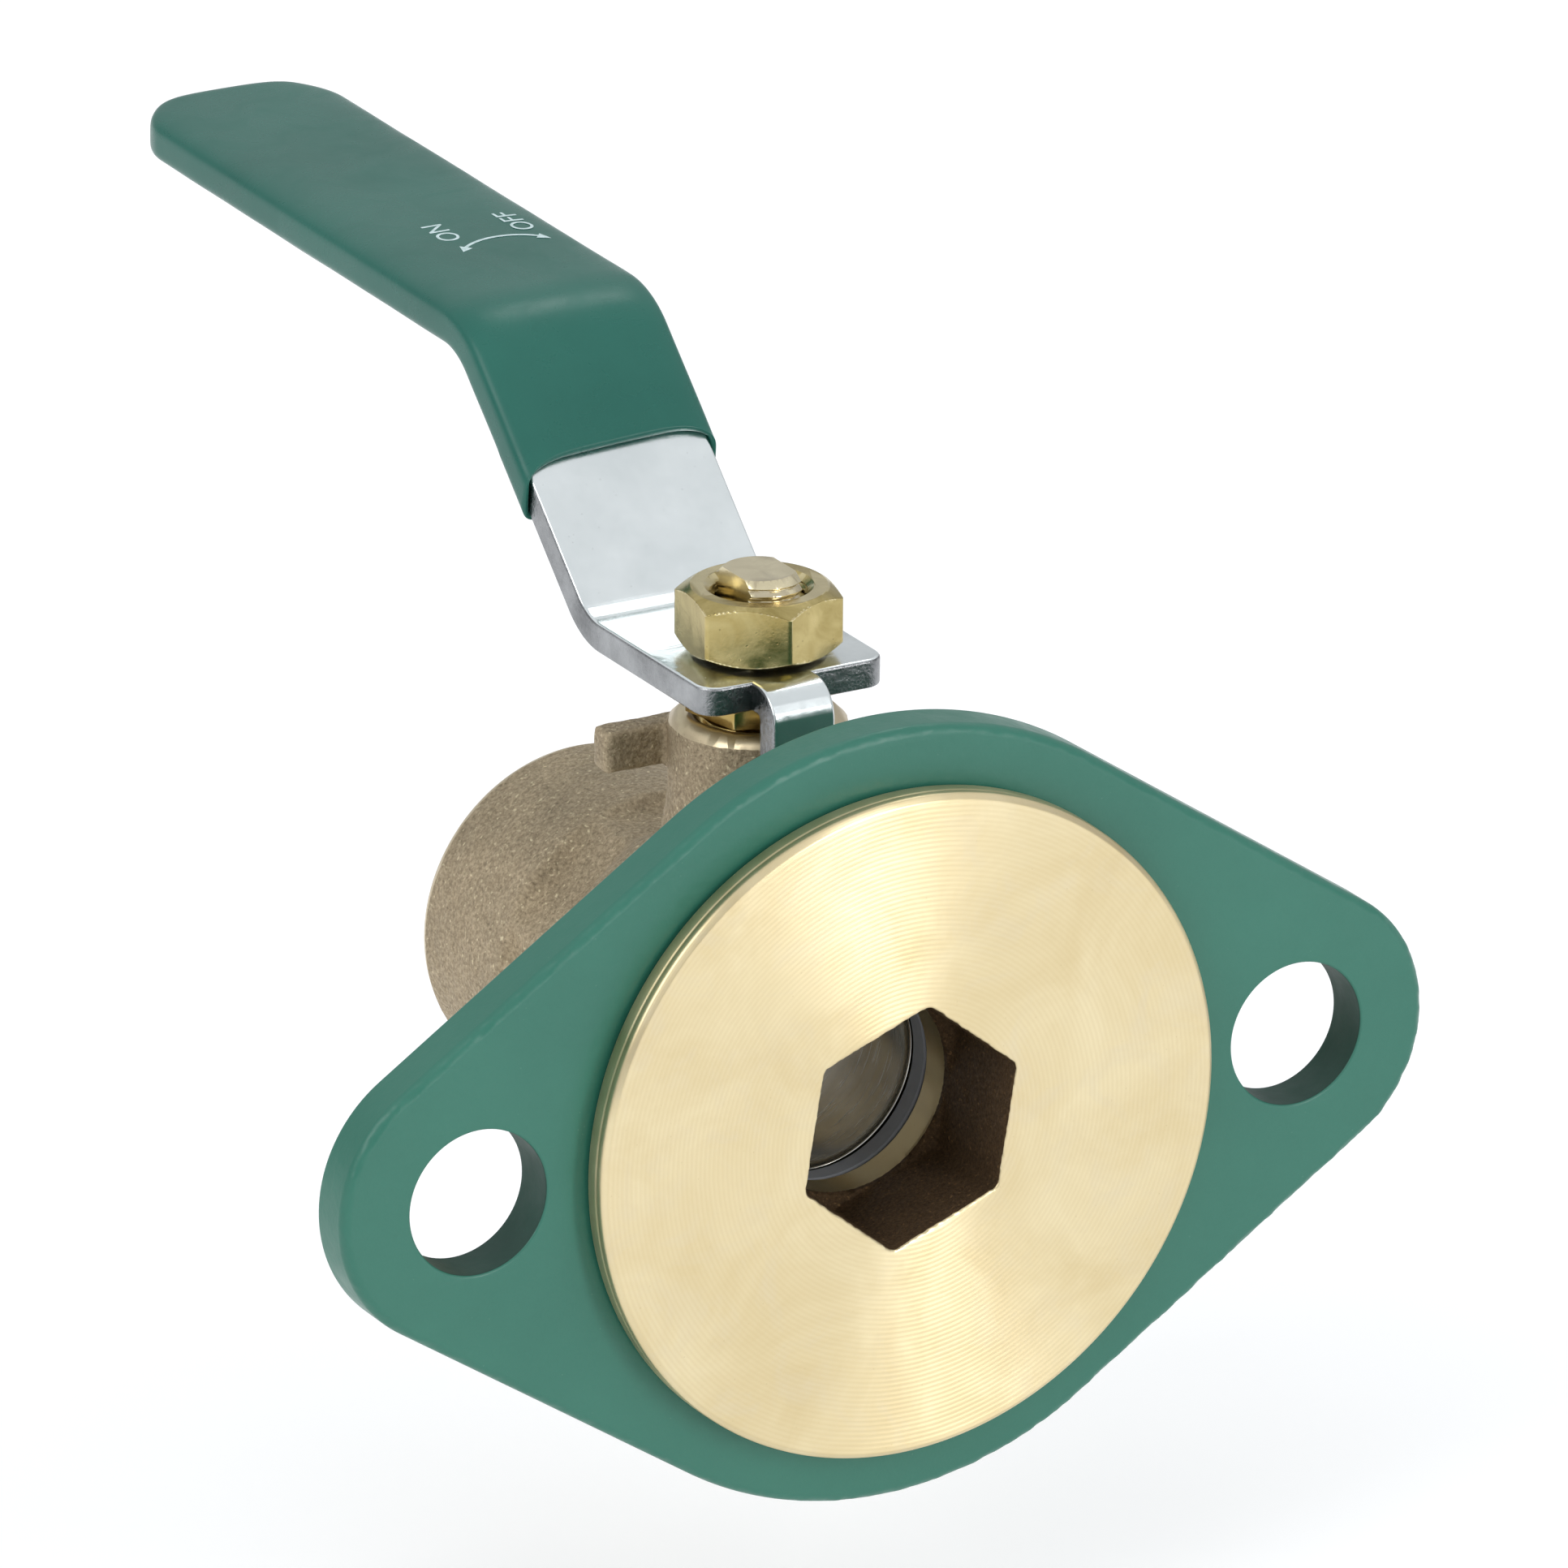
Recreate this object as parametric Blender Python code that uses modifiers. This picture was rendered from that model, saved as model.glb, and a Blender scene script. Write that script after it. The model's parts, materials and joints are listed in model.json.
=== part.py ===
"""A two-bolt pump shut-off flange: a lever ball valve with a disc face and a swivelling oval flange.

X runs along the bolt holes, +Y back along the waterway from the disc's sealing face, and +Z up the stem.
The origin is the centre of the sealing face. The valve stands open, with the lever along the waterway.
"""

import math

import bmesh
import bpy
from mathutils import Matrix, Vector

MM = 0.001

# Fits
CLEARANCE = 0.3 * MM  # between pieces that seat on or turn in one another
GRIP_CLEARANCE = 0.25 * MM  # between the lever's steel and the grip

# Waterway
PORT_RADIUS = 9.5 * MM
BALL_RADIUS = 14.0 * MM
BALL_GAP = 0.2 * MM  # from the ball to the plane of a seat's outer face
SEAT_DEPTH = 4.6 * MM
SEAT_INSET = 1.8 * MM  # by which a seat is narrower than the ball

# Disc and tailpiece
DISC_RADIUS = 30.0 * MM
DISC_THICKNESS = 2.8 * MM
DISC_EDGE = 0.5 * MM  # chamfer round the disc's rim
HEX_ACROSS_FLATS = 19.05 * MM
HEX_DEPTH = 10.5 * MM
HEX_CORNER = 0.8 * MM
HEX_TURN = math.radians(9)
BORE_LENGTH = 2.0 * MM  # round bore between the hexagon and the seat
TAIL_WALL = 3.0 * MM  # round the seat's pocket
TAIL_LIP = 4.0 * MM  # how far the tail reaches past the bottom of the seat's pocket
NECK_STEP = 2.0 * MM  # by which the neck is wider than the tail's thread
SEAL_SPACE = 1.2 * MM

# Swivel flange
FLANGE_THICKNESS = 4.6 * MM
BOLT_SPACING = 80.2 * MM
BOLT_HOLE_RADIUS = 6.5 * MM
FLANGE_RIM = 5.1 * MM  # beyond the disc
FLANGE_END_WALL = 6.4 * MM  # beyond a bolt hole
FLANGE_FRONT_EDGE = 1.5 * MM  # rolled by the die on the front, nearly sharp on the back
FLANGE_BACK_EDGE = 0.3 * MM
SHOULDER_GAP = 0.9 * MM  # the flange's play between the disc and the body

# Valve body
SHOULDER_STEP = 2.5 * MM  # by which the shoulder is wider than the tailpiece's neck
SHOULDER_LENGTH = 3.4 * MM
CHAMBER_WALL = 2.9 * MM
CHAMBER_GAP = 0.6 * MM
OCTAGON_WALL = 1.8 * MM
OCTAGON_LENGTH = 7.0 * MM
OCTAGON_RUN_IN = 2.0 * MM  # how far its corners run into the taper
COLLAR_STEP = 0.05 * MM  # beyond the octagon's corners
COLLAR_WALL = 3.4 * MM
COLLAR_LENGTH = 15.0 * MM
COLLAR_EDGE = 1.8 * MM
PIPE_SOCKET_DEPTH = 15.0 * MM
WATERWAY_LIP = 3.5 * MM  # between the rear seat's pocket and the pipe socket

# Bonnet, stem and packing
STEM_RADIUS = 4.0 * MM
STEM_FLAT_SHARE = 0.625  # of the stem's radius, from its axis to a flat
STEM_SHOULDER_HEIGHT = 1.9 * MM
STEM_END = 1.4 * MM  # above the lever's nut
STEM_CHAMFER = 0.5 * MM
TANG_ROOM = 1.1 * MM  # from the ball to the stem's shoulder
BALL_SLOT_DEPTH = 3.2 * MM
BALL_SLOT_WIDTH = 5.2 * MM
THRUST_WASHER_HEIGHT = 1.0 * MM
THROAT_LENGTH = 1.9 * MM
PACKING_WIDTH = 1.6 * MM  # from the stem to the packing's bore
PACKING_RINGS = 3
PACKING_RING_HEIGHT = 1.2 * MM
CHEVRON = 0.5 * MM
GLAND_HEIGHT = 0.8 * MM
PACKING_NUT_SHANK = 2.6 * MM
PACKING_NUT_ACROSS_FLATS = 11.1 * MM
PACKING_NUT_HEAD = 2.2 * MM
BOSS_WALL = 2.1 * MM

# Lever, with lengths along it measured from the stem's axis
LEVER_THICKNESS = 2.6 * MM
LEVER_WIDTH = 18.0 * MM
LEVER_FRONT = 6.7 * MM
LEVER_FRONT_CORNER = 2.0 * MM
LEVER_TIP_CORNER = 5.0 * MM
FIRST_BEND = 15.3 * MM
RISE = 19.7 * MM
RISER_ANGLE = math.radians(43)
GRIP_TILT = math.radians(1.5)
LEVER_REACH = 98.9 * MM
FIRST_BEND_RADIUS = 4.8 * MM
SECOND_BEND_RADIUS = 7.0 * MM
TAB_WIDTH = 6.0 * MM
TAB_OFFSET = -1.4 * MM
TAB_BEND_RADIUS = 1.8 * MM
GRIP_WALL = 0.8 * MM
GRIP_EDGE = 1.2 * MM
BARE_RISER = 9.3 * MM  # height of the riser left bare under the grip
NUT_ACROSS_FLATS = 12.7 * MM
NUT_HEIGHT = 5.7 * MM
NUT_TURN = math.radians(22.6)
NUT_COUNTERSINK = 0.3 * MM

# Stop lugs on the bonnet
LUG_THICKNESS = 2.8 * MM
LUG_HEIGHT = 3.8 * MM
LUG_DROP = 1.7 * MM  # from the boss's top to a lug's
LUG_OVERREACH = 1.6 * MM  # beyond the stop tab
LUG_EDGE = 0.7 * MM
TAB_OVERLAP = 2.5 * MM  # of the stop tab over a lug's height

# Places and radii that follow, front to back
SEAT_OUTER_RADIUS = BALL_RADIUS - SEAT_INSET
SEAT_POCKET_RADIUS = SEAT_OUTER_RADIUS + CLEARANCE
TAIL_THREAD_RADIUS = SEAT_POCKET_RADIUS + TAIL_WALL
NECK_RADIUS = TAIL_THREAD_RADIUS + NECK_STEP
SHOULDER_RADIUS = NECK_RADIUS + SHOULDER_STEP
SEAT_FACE = BALL_RADIUS + BALL_GAP  # from the ball's centre to a seat's outer face
FLANGE_CENTRE_RADIUS = DISC_RADIUS + FLANGE_RIM
FLANGE_END_RADIUS = BOLT_HOLE_RADIUS + FLANGE_END_WALL
FLANGE_FRONT_Y = DISC_THICKNESS + CLEARANCE
BODY_FRONT_Y = FLANGE_FRONT_Y + FLANGE_THICKNESS + SHOULDER_GAP
FRONT_POCKET_Y = HEX_DEPTH + BORE_LENGTH
STEM_Y = FRONT_POCKET_Y + CLEARANCE + SEAT_FACE
REAR_POCKET_Y = STEM_Y + SEAT_FACE + CLEARANCE
REAR_POCKET_MOUTH_Y = REAR_POCKET_Y - SEAT_DEPTH
TAIL_END_Y = FRONT_POCKET_Y + TAIL_LIP
SEAL_END_Y = TAIL_END_Y + SEAL_SPACE
CHAMBER_RADIUS = BALL_RADIUS + CHAMBER_GAP
CHAMBER_OUTER_RADIUS = CHAMBER_RADIUS + CHAMBER_WALL
OCTAGON_ACROSS_FLATS = 2 * (SEAT_POCKET_RADIUS + OCTAGON_WALL)
COLLAR_RADIUS = OCTAGON_ACROSS_FLATS / 2 / math.cos(math.pi / 8) + COLLAR_STEP
PIPE_SOCKET_RADIUS = COLLAR_RADIUS - COLLAR_WALL
SOCKET_FLOOR_Y = REAR_POCKET_Y + WATERWAY_LIP
BODY_END_Y = SOCKET_FLOOR_Y + PIPE_SOCKET_DEPTH
COLLAR_Y = BODY_END_Y - COLLAR_LENGTH
OCTAGON_Y = COLLAR_Y - OCTAGON_LENGTH

# Places and radii that follow, upwards from the waterway
PACKING_BORE_RADIUS = STEM_RADIUS + PACKING_WIDTH
STEM_SHOULDER_RADIUS = PACKING_BORE_RADIUS
BOSS_RADIUS = PACKING_BORE_RADIUS + BOSS_WALL
STEM_SHOULDER_BOTTOM_Z = BALL_RADIUS + TANG_ROOM
STEM_SHOULDER_Z = STEM_SHOULDER_BOTTOM_Z + STEM_SHOULDER_HEIGHT
WASHER_Z = STEM_SHOULDER_Z + CLEARANCE
POCKET_TOP_Z = WASHER_Z + THRUST_WASHER_HEIGHT + CLEARANCE
PACKING_FLOOR_Z = POCKET_TOP_Z + THROAT_LENGTH
PACKING_PITCH = PACKING_RING_HEIGHT + CLEARANCE
GLAND_Z = PACKING_FLOOR_Z + CLEARANCE + PACKING_RINGS * PACKING_PITCH
GLAND_TOP_Z = GLAND_Z + CHEVRON + GLAND_HEIGHT
PACKING_NUT_SHANK_Z = GLAND_TOP_Z + CLEARANCE
PACKING_NUT_Z = PACKING_NUT_SHANK_Z + PACKING_NUT_SHANK
BOSS_TOP_Z = PACKING_NUT_Z - CLEARANCE
LEVER_UNDERSIDE_Z = PACKING_NUT_Z + PACKING_NUT_HEAD + CLEARANCE
LEVER_MIDDLE_Z = LEVER_UNDERSIDE_Z + LEVER_THICKNESS / 2
LEVER_NUT_Z = LEVER_UNDERSIDE_Z + LEVER_THICKNESS + CLEARANCE
STEM_TOP_Z = LEVER_NUT_Z + NUT_HEIGHT + STEM_END
HALF_STEM_FLATS = STEM_RADIUS * STEM_FLAT_SHARE

# The stop tab and the lugs that it meets
TAB_REACH = BOSS_RADIUS + CLEARANCE + LEVER_THICKNESS
LUG_TOP_Z = BOSS_TOP_Z - LUG_DROP
LUG_BOTTOM_Z = LUG_TOP_Z - LUG_HEIGHT
LUG_REACH = TAB_REACH + LUG_OVERREACH
TAB_BOTTOM_Z = LUG_TOP_Z - TAB_OVERLAP
CLOSED_STOP_Y = STEM_Y - (TAB_OFFSET - TAB_WIDTH / 2) + CLEARANCE
OPEN_STOP_X = TAB_OFFSET + TAB_WIDTH / 2 + CLEARANCE


def clear_scene():
    for item in list(bpy.data.objects):
        bpy.data.objects.remove(item)


def new_collection(name):
    collection = bpy.data.collections.new(name)
    bpy.context.scene.collection.children.link(collection)
    return collection


def material(name, colour, roughness, metallic):
    made = bpy.data.materials.new(name)
    made.use_nodes = True
    shader = made.node_tree.nodes["Principled BSDF"]
    shader.inputs["Base Color"].default_value = (*colour, 1)
    shader.inputs["Roughness"].default_value = roughness
    shader.inputs["Metallic"].default_value = metallic
    return made


def add_object(name, mesh):
    """A mesh object among the cutters. part() moves the ones that are pieces of the valve."""
    item = bpy.data.objects.new(name, mesh)
    CUTTERS.objects.link(item)
    item.hide_render = True
    item.display_type = "WIRE"
    return item


def part(item, finish):
    """Makes the object a piece of the valve, in that material."""
    CUTTERS.objects.unlink(item)
    VALVE.objects.link(item)
    item.hide_render = False
    item.display_type = "TEXTURED"
    item.data.materials.clear()
    item.data.materials.append(finish)
    return item


def boolean(item, tool, operation="DIFFERENCE"):
    cut = item.modifiers.new(f"{operation.lower()} {tool.name}", "BOOLEAN")
    cut.operation = operation
    cut.solver = "EXACT"
    cut.object = tool
    return item


def enclosed_area(outline):
    ends = zip(outline, outline[1:] + outline[:1])
    return sum(a[0] * b[1] - b[0] * a[1] for a, b in ends) / 2


def turned(name, section, steps=64):
    """A turned piece about its local Z, from a closed section of (radius, height) points."""
    if enclosed_area(section) > 0:
        section = section[::-1]
    mesh = bpy.data.meshes.new(name)
    count = len(section)
    edges = [(i, (i + 1) % count) for i in range(count)]
    edges = [e for e in edges if section[e[0]][0] > 0 or section[e[1]][0] > 0]
    mesh.from_pydata([(radius, 0, height) for radius, height in section], edges, [])
    item = add_object(name, mesh)
    screw = item.modifiers.new("turn", "SCREW")
    screw.steps = screw.render_steps = steps
    screw.use_merge_vertices = True
    screw.merge_threshold = 0.00001
    return item


def along_waterway(item):
    """Lays a piece whose length is its local Z along +Y."""
    item.rotation_euler = (-math.pi / 2, 0, 0)
    return item


def at_stem(item, height=0.0):
    item.location = (0, STEM_Y, height)
    return item


def rod(name, radius, low, high, sides=48, turn=0.0):
    """A cylinder or a prism along local Z. The turn is about its axis."""
    mesh = bpy.data.meshes.new(name)
    build = bmesh.new()
    bmesh.ops.create_cone(
        build, cap_ends=True, segments=sides, radius1=radius, radius2=radius, depth=high - low
    )
    place = Matrix.Translation((0, 0, (low + high) / 2)) @ Matrix.Rotation(turn, 4, "Z")
    bmesh.ops.transform(build, matrix=place, verts=build.verts)
    build.to_mesh(mesh)
    build.free()
    return add_object(name, mesh)


def prism(name, across_flats, sides, low, high, turn=0.0):
    """A regular prism along local Z, turned so that a flat faces +X before the turn."""
    corner = across_flats / 2 / math.cos(math.pi / sides)
    return rod(name, corner, low, high, sides, turn + math.pi / sides)


def block(name, low, high, edge=0.0):
    """A box between two corners, with its edges rounded over."""
    low, high = Vector(low), Vector(high)
    mesh = bpy.data.meshes.new(name)
    build = bmesh.new()
    bmesh.ops.create_cube(build, size=1)
    size = Matrix.Diagonal((*(high - low), 1))
    bmesh.ops.transform(build, matrix=Matrix.Translation((low + high) / 2) @ size, verts=build.verts)
    if edge:
        bmesh.ops.bevel(build, geom=build.edges, offset=edge, segments=2, profile=0.5, affect="EDGES")
    build.to_mesh(mesh)
    build.free()
    return add_object(name, mesh)


def arc(centre, radius, start, end, steps):
    """Points on an arc, with its angles in radians."""
    angles = [start + (end - start) * i / steps for i in range(steps + 1)]
    return [(centre[0] + radius * math.cos(a), centre[1] + radius * math.sin(a)) for a in angles]


FACE_PLANE = Matrix(((1, 0, 0, 0), (0, 0, -1, 0), (0, 1, 0, 0), (0, 0, 0, 1)))  # outline in X and Z
SIDE_PLANE = Matrix(((0, 0, 1, 0), (1, 0, 0, 0), (0, 1, 0, 0), (0, 0, 0, 1)))  # outline in Y and Z
PLAN_PLANE = Matrix.Identity(4)  # outline in X and Y


def plate(name, outlines, thickness, plane):
    """A flat plate of the first outline with the others cut out, centred on its plane."""
    curve = bpy.data.curves.new(name, "CURVE")
    curve.dimensions = "2D"
    curve.fill_mode = "BOTH"
    curve.extrude = thickness / 2
    for outline in outlines:
        spline = curve.splines.new("POLY")
        spline.points.add(len(outline) - 1)
        for point, (u, v) in zip(spline.points, outline):
            point.co = (u, v, 0, 1)
        spline.use_cyclic_u = True
    guide = bpy.data.objects.new(name, curve)
    CUTTERS.objects.link(guide)
    graph = bpy.context.evaluated_depsgraph_get()
    mesh = bpy.data.meshes.new_from_object(guide.evaluated_get(graph))
    bpy.data.objects.remove(guide)
    build = bmesh.new()
    build.from_mesh(mesh)
    bmesh.ops.remove_doubles(build, verts=build.verts, dist=1e-6)
    bmesh.ops.transform(build, matrix=plane, verts=build.verts)
    bmesh.ops.recalc_face_normals(build, faces=build.faces)
    build.to_mesh(mesh)
    build.free()
    return add_object(name, mesh)


def ring_section(inner, outer, low, high):
    return [(inner, low), (outer, low), (outer, high), (inner, high)]


def make_tailpiece():
    shoulder_y = BODY_FRONT_Y - CLEARANCE
    section = [
        (PORT_RADIUS, 0),
        (DISC_RADIUS - DISC_EDGE, 0),
        (DISC_RADIUS, DISC_EDGE),
        (DISC_RADIUS, DISC_THICKNESS - DISC_EDGE),
        (DISC_RADIUS - DISC_EDGE, DISC_THICKNESS),
        (NECK_RADIUS, DISC_THICKNESS),
        (NECK_RADIUS, shoulder_y),
        (TAIL_THREAD_RADIUS, shoulder_y),
        (TAIL_THREAD_RADIUS, TAIL_END_Y),
        (SEAT_POCKET_RADIUS, TAIL_END_Y),
        (SEAT_POCKET_RADIUS, FRONT_POCKET_Y),
        (PORT_RADIUS, FRONT_POCKET_Y),
    ]
    tailpiece = along_waterway(turned("disc_tailpiece", section, 72))
    broach = prism("hex_broach", HEX_ACROSS_FLATS, 6, -1 * MM, HEX_DEPTH, HEX_TURN)
    round_corners = broach.modifiers.new("corners", "BEVEL")
    round_corners.width = HEX_CORNER
    round_corners.segments = 3
    round_corners.limit_method = "ANGLE"
    round_corners.angle_limit = math.radians(50)
    round_corners.affect = "EDGES"
    boolean(tailpiece, along_waterway(broach))
    return part(tailpiece, BRASS)


def flange_outline():
    """Two end arcs and two centre arcs joined by straight tangents."""
    reach = BOLT_SPACING / 2
    tangent = math.acos((FLANGE_CENTRE_RADIUS - FLANGE_END_RADIUS) / reach)
    right = arc((reach, 0), FLANGE_END_RADIUS, -tangent, tangent, 12)
    top = arc((0, 0), FLANGE_CENTRE_RADIUS, tangent, math.pi - tangent, 16)
    left = [(-x, -z) for x, z in right]
    bottom = [(-x, -z) for x, z in top]
    return right + top + left + bottom


def make_swivel_flange():
    circle = 2 * math.pi
    holes = [
        arc((x, 0), BOLT_HOLE_RADIUS, 0, circle, 32)[:-1] for x in (-BOLT_SPACING / 2, BOLT_SPACING / 2)
    ]
    bore = arc((0, 0), NECK_RADIUS + CLEARANCE, 0, circle, 48)[:-1]
    flange = plate("swivel_flange", [flange_outline(), bore, *holes], FLANGE_THICKNESS, FACE_PLANE)
    flange.location = (0, FLANGE_FRONT_Y + FLANGE_THICKNESS / 2, 0)
    weights = flange.data.attributes.new("bevel_weight_edge", "FLOAT", "EDGE")
    points = flange.data.vertices
    for edge, weight in zip(flange.data.edges, weights.data):
        ends = [points[i].co for i in edge.vertices]
        on_rim = all(end.length > NECK_RADIUS + 2 * CLEARANCE for end in ends)
        away_from_holes = all(
            Vector((abs(end.x) - BOLT_SPACING / 2, 0, end.z)).length > BOLT_HOLE_RADIUS + CLEARANCE
            for end in ends
        )
        if not (on_rim and away_from_holes) or len({round(end.y, 6) for end in ends}) > 1:
            continue
        weight.value = 1.0 if ends[0].y < 0 else FLANGE_BACK_EDGE / FLANGE_FRONT_EDGE
    rolled = flange.modifiers.new("rolled edge", "BEVEL")
    rolled.width = FLANGE_FRONT_EDGE
    rolled.segments = 3
    rolled.limit_method = "WEIGHT"
    return part(flange, GREEN_PAINT)


def make_body():
    chamber_end = REAR_POCKET_MOUTH_Y - CHAMBER_WALL
    octagon_core = OCTAGON_ACROSS_FLATS / 2 - 0.2 * MM
    section = [
        (PORT_RADIUS, BODY_FRONT_Y),
        (SHOULDER_RADIUS, BODY_FRONT_Y),
        (SHOULDER_RADIUS, BODY_FRONT_Y + SHOULDER_LENGTH),
        (CHAMBER_OUTER_RADIUS, BODY_FRONT_Y + SHOULDER_LENGTH + 1.5 * MM),
        (CHAMBER_OUTER_RADIUS, chamber_end),
        (octagon_core, OCTAGON_Y + OCTAGON_RUN_IN),
        (octagon_core, COLLAR_Y),
        (COLLAR_RADIUS, COLLAR_Y),
        (COLLAR_RADIUS, BODY_END_Y - COLLAR_EDGE),
        (COLLAR_RADIUS - 0.3 * COLLAR_EDGE, BODY_END_Y - 0.3 * COLLAR_EDGE),
        (COLLAR_RADIUS - COLLAR_EDGE, BODY_END_Y),
        (PORT_RADIUS, BODY_END_Y),
    ]
    body = along_waterway(turned("valve_body", section, 64))
    octagon_start = OCTAGON_Y - OCTAGON_RUN_IN
    octagon = along_waterway(
        prism("octagon", OCTAGON_ACROSS_FLATS, 8, octagon_start, COLLAR_Y + 0.5 * MM)
    )
    boolean(body, octagon, "UNION")
    boss = at_stem(rod("boss", BOSS_RADIUS, CHAMBER_RADIUS - 2 * MM, BOSS_TOP_Z))
    boolean(body, boss, "UNION")
    inside = BOSS_RADIUS * 0.2
    closed_lug = block(
        "closed_stop",
        (-LUG_REACH, CLOSED_STOP_Y, LUG_BOTTOM_Z),
        (-inside, CLOSED_STOP_Y + LUG_THICKNESS, LUG_TOP_Z),
        LUG_EDGE,
    )
    open_lug = block(
        "open_stop",
        (OPEN_STOP_X, STEM_Y - LUG_REACH, LUG_BOTTOM_Z),
        (OPEN_STOP_X + LUG_THICKNESS, STEM_Y - BOSS_RADIUS + inside, LUG_TOP_Z),
        LUG_EDGE,
    )
    boolean(body, closed_lug, "UNION")
    boolean(body, open_lug, "UNION")

    bore_radius = TAIL_THREAD_RADIUS + CLEARANCE
    beyond = 1 * MM
    waterway = [
        (0, BODY_FRONT_Y - beyond),
        (bore_radius, BODY_FRONT_Y - beyond),
        (bore_radius, SEAL_END_Y),
        (CHAMBER_RADIUS, SEAL_END_Y),
        (CHAMBER_RADIUS, REAR_POCKET_MOUTH_Y),
        (SEAT_POCKET_RADIUS, REAR_POCKET_MOUTH_Y),
        (SEAT_POCKET_RADIUS, REAR_POCKET_Y),
        (PORT_RADIUS, REAR_POCKET_Y),
        (PORT_RADIUS, SOCKET_FLOOR_Y),
        (PIPE_SOCKET_RADIUS, SOCKET_FLOOR_Y),
        (PIPE_SOCKET_RADIUS, BODY_END_Y + beyond),
        (0, BODY_END_Y + beyond),
    ]
    boolean(body, along_waterway(turned("body_waterway", waterway, 64)))
    stem_pocket_radius = STEM_SHOULDER_RADIUS + CLEARANCE
    bonnet = [
        (0, PORT_RADIUS),
        (stem_pocket_radius, PORT_RADIUS),
        (stem_pocket_radius, POCKET_TOP_Z),
        (STEM_RADIUS + CLEARANCE, POCKET_TOP_Z),
        (STEM_RADIUS + CLEARANCE, PACKING_FLOOR_Z),
        (PACKING_BORE_RADIUS, PACKING_FLOOR_Z),
        (PACKING_BORE_RADIUS, BOSS_TOP_Z + beyond),
        (0, BOSS_TOP_Z + beyond),
    ]
    boolean(body, at_stem(turned("bonnet_bore", bonnet, 48)))
    return part(body, BRONZE)


def make_ball():
    half = math.sqrt(BALL_RADIUS**2 - PORT_RADIUS**2)
    start = math.asin(half / BALL_RADIUS)
    section = arc((0, 0), BALL_RADIUS, -start, start, 14)
    ball = along_waterway(turned("ball", section, 48))
    ball.location = (0, STEM_Y, 0)
    slot = block(
        "ball_slot",
        (-BALL_RADIUS, -BALL_SLOT_WIDTH / 2, BALL_RADIUS - BALL_SLOT_DEPTH),
        (BALL_RADIUS, BALL_SLOT_WIDTH / 2, BALL_RADIUS + BALL_SLOT_DEPTH),
    )
    boolean(ball, at_stem(slot))
    return part(ball, CHROME)


def make_seat(name, facing):
    """A ring whose lip follows the ball. facing is -1 for the front seat and 1 for the rear one."""
    reach = BALL_RADIUS + CLEARANCE
    lip = math.sqrt(reach**2 - PORT_RADIUS**2)
    inner_face = SEAT_FACE - SEAT_DEPTH
    contact = math.acos(inner_face / reach)
    steps = 4
    start = math.acos(lip / reach)
    dish = [
        (reach * math.sin(a), reach * math.cos(a))
        for a in [start + (contact - start) * i / steps for i in range(steps + 1)]
    ]
    outer = [(SEAT_OUTER_RADIUS, inner_face), (SEAT_OUTER_RADIUS, SEAT_FACE)]
    section = [(PORT_RADIUS, SEAT_FACE), *dish, *outer]
    section = [(radius, facing * height) for radius, height in section]
    seat = along_waterway(turned(name, section, 48))
    seat.location = (0, STEM_Y, 0)
    return part(seat, SEAT_PLASTIC)


def make_body_seal():
    low, high = TAIL_END_Y + CLEARANCE, SEAL_END_Y - CLEARANCE
    seal = turned("body_seal", ring_section(CHAMBER_RADIUS, TAIL_THREAD_RADIUS, low, high), 48)
    return part(along_waterway(seal), SEAT_PLASTIC)


def make_stem():
    section = [
        (0, STEM_SHOULDER_BOTTOM_Z),
        (STEM_SHOULDER_RADIUS, STEM_SHOULDER_BOTTOM_Z),
        (STEM_SHOULDER_RADIUS, STEM_SHOULDER_Z),
        (STEM_RADIUS, STEM_SHOULDER_Z),
        (STEM_RADIUS, STEM_TOP_Z - STEM_CHAMFER),
        (STEM_RADIUS - STEM_CHAMFER, STEM_TOP_Z),
        (0, STEM_TOP_Z),
    ]
    stem = at_stem(turned("stem", section, 48))
    half_tang = BALL_SLOT_WIDTH / 2 - CLEARANCE
    tang_reach = STEM_SHOULDER_RADIUS * 0.9
    tang = block(
        "tang",
        (-tang_reach, -half_tang, BALL_RADIUS - BALL_SLOT_DEPTH + CLEARANCE),
        (tang_reach, half_tang, STEM_SHOULDER_Z - STEM_SHOULDER_HEIGHT / 2),
    )
    boolean(stem, at_stem(tang), "UNION")
    for side in (-1, 1):
        near, far = HALF_STEM_FLATS, STEM_RADIUS * 2
        flat = block(
            f"stem_flat_{'left' if side < 0 else 'right'}",
            (min(side * near, side * far), -far, LEVER_UNDERSIDE_Z - CLEARANCE),
            (max(side * near, side * far), far, STEM_TOP_Z + 1 * MM),
        )
        boolean(stem, at_stem(flat))
    return part(stem, BRASS)


def make_packing():
    inner, outer = STEM_RADIUS + CLEARANCE, PACKING_BORE_RADIUS - CLEARANCE
    middle = (inner + outer) / 2
    washer = ring_section(inner, STEM_SHOULDER_RADIUS, WASHER_Z, WASHER_Z + THRUST_WASHER_HEIGHT)
    part(at_stem(turned("thrust_washer", washer, 32)), SEAT_PLASTIC)
    for number in range(1, PACKING_RINGS + 1):
        low = PACKING_FLOOR_Z + CLEARANCE + (number - 1) * PACKING_PITCH
        high = low + PACKING_RING_HEIGHT
        section = [
            (inner, low),
            (middle, low + CHEVRON),
            (outer, low),
            (outer, high),
            (middle, high + CHEVRON),
            (inner, high),
        ]
        part(at_stem(turned(f"packing_ring_{number}", section, 32)), SEAT_PLASTIC)
    gland = [
        (inner, GLAND_Z),
        (middle, GLAND_Z + CHEVRON),
        (outer, GLAND_Z),
        (outer, GLAND_TOP_Z),
        (inner, GLAND_TOP_Z),
    ]
    part(at_stem(turned("gland_ring", gland, 32)), BRASS)


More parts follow.
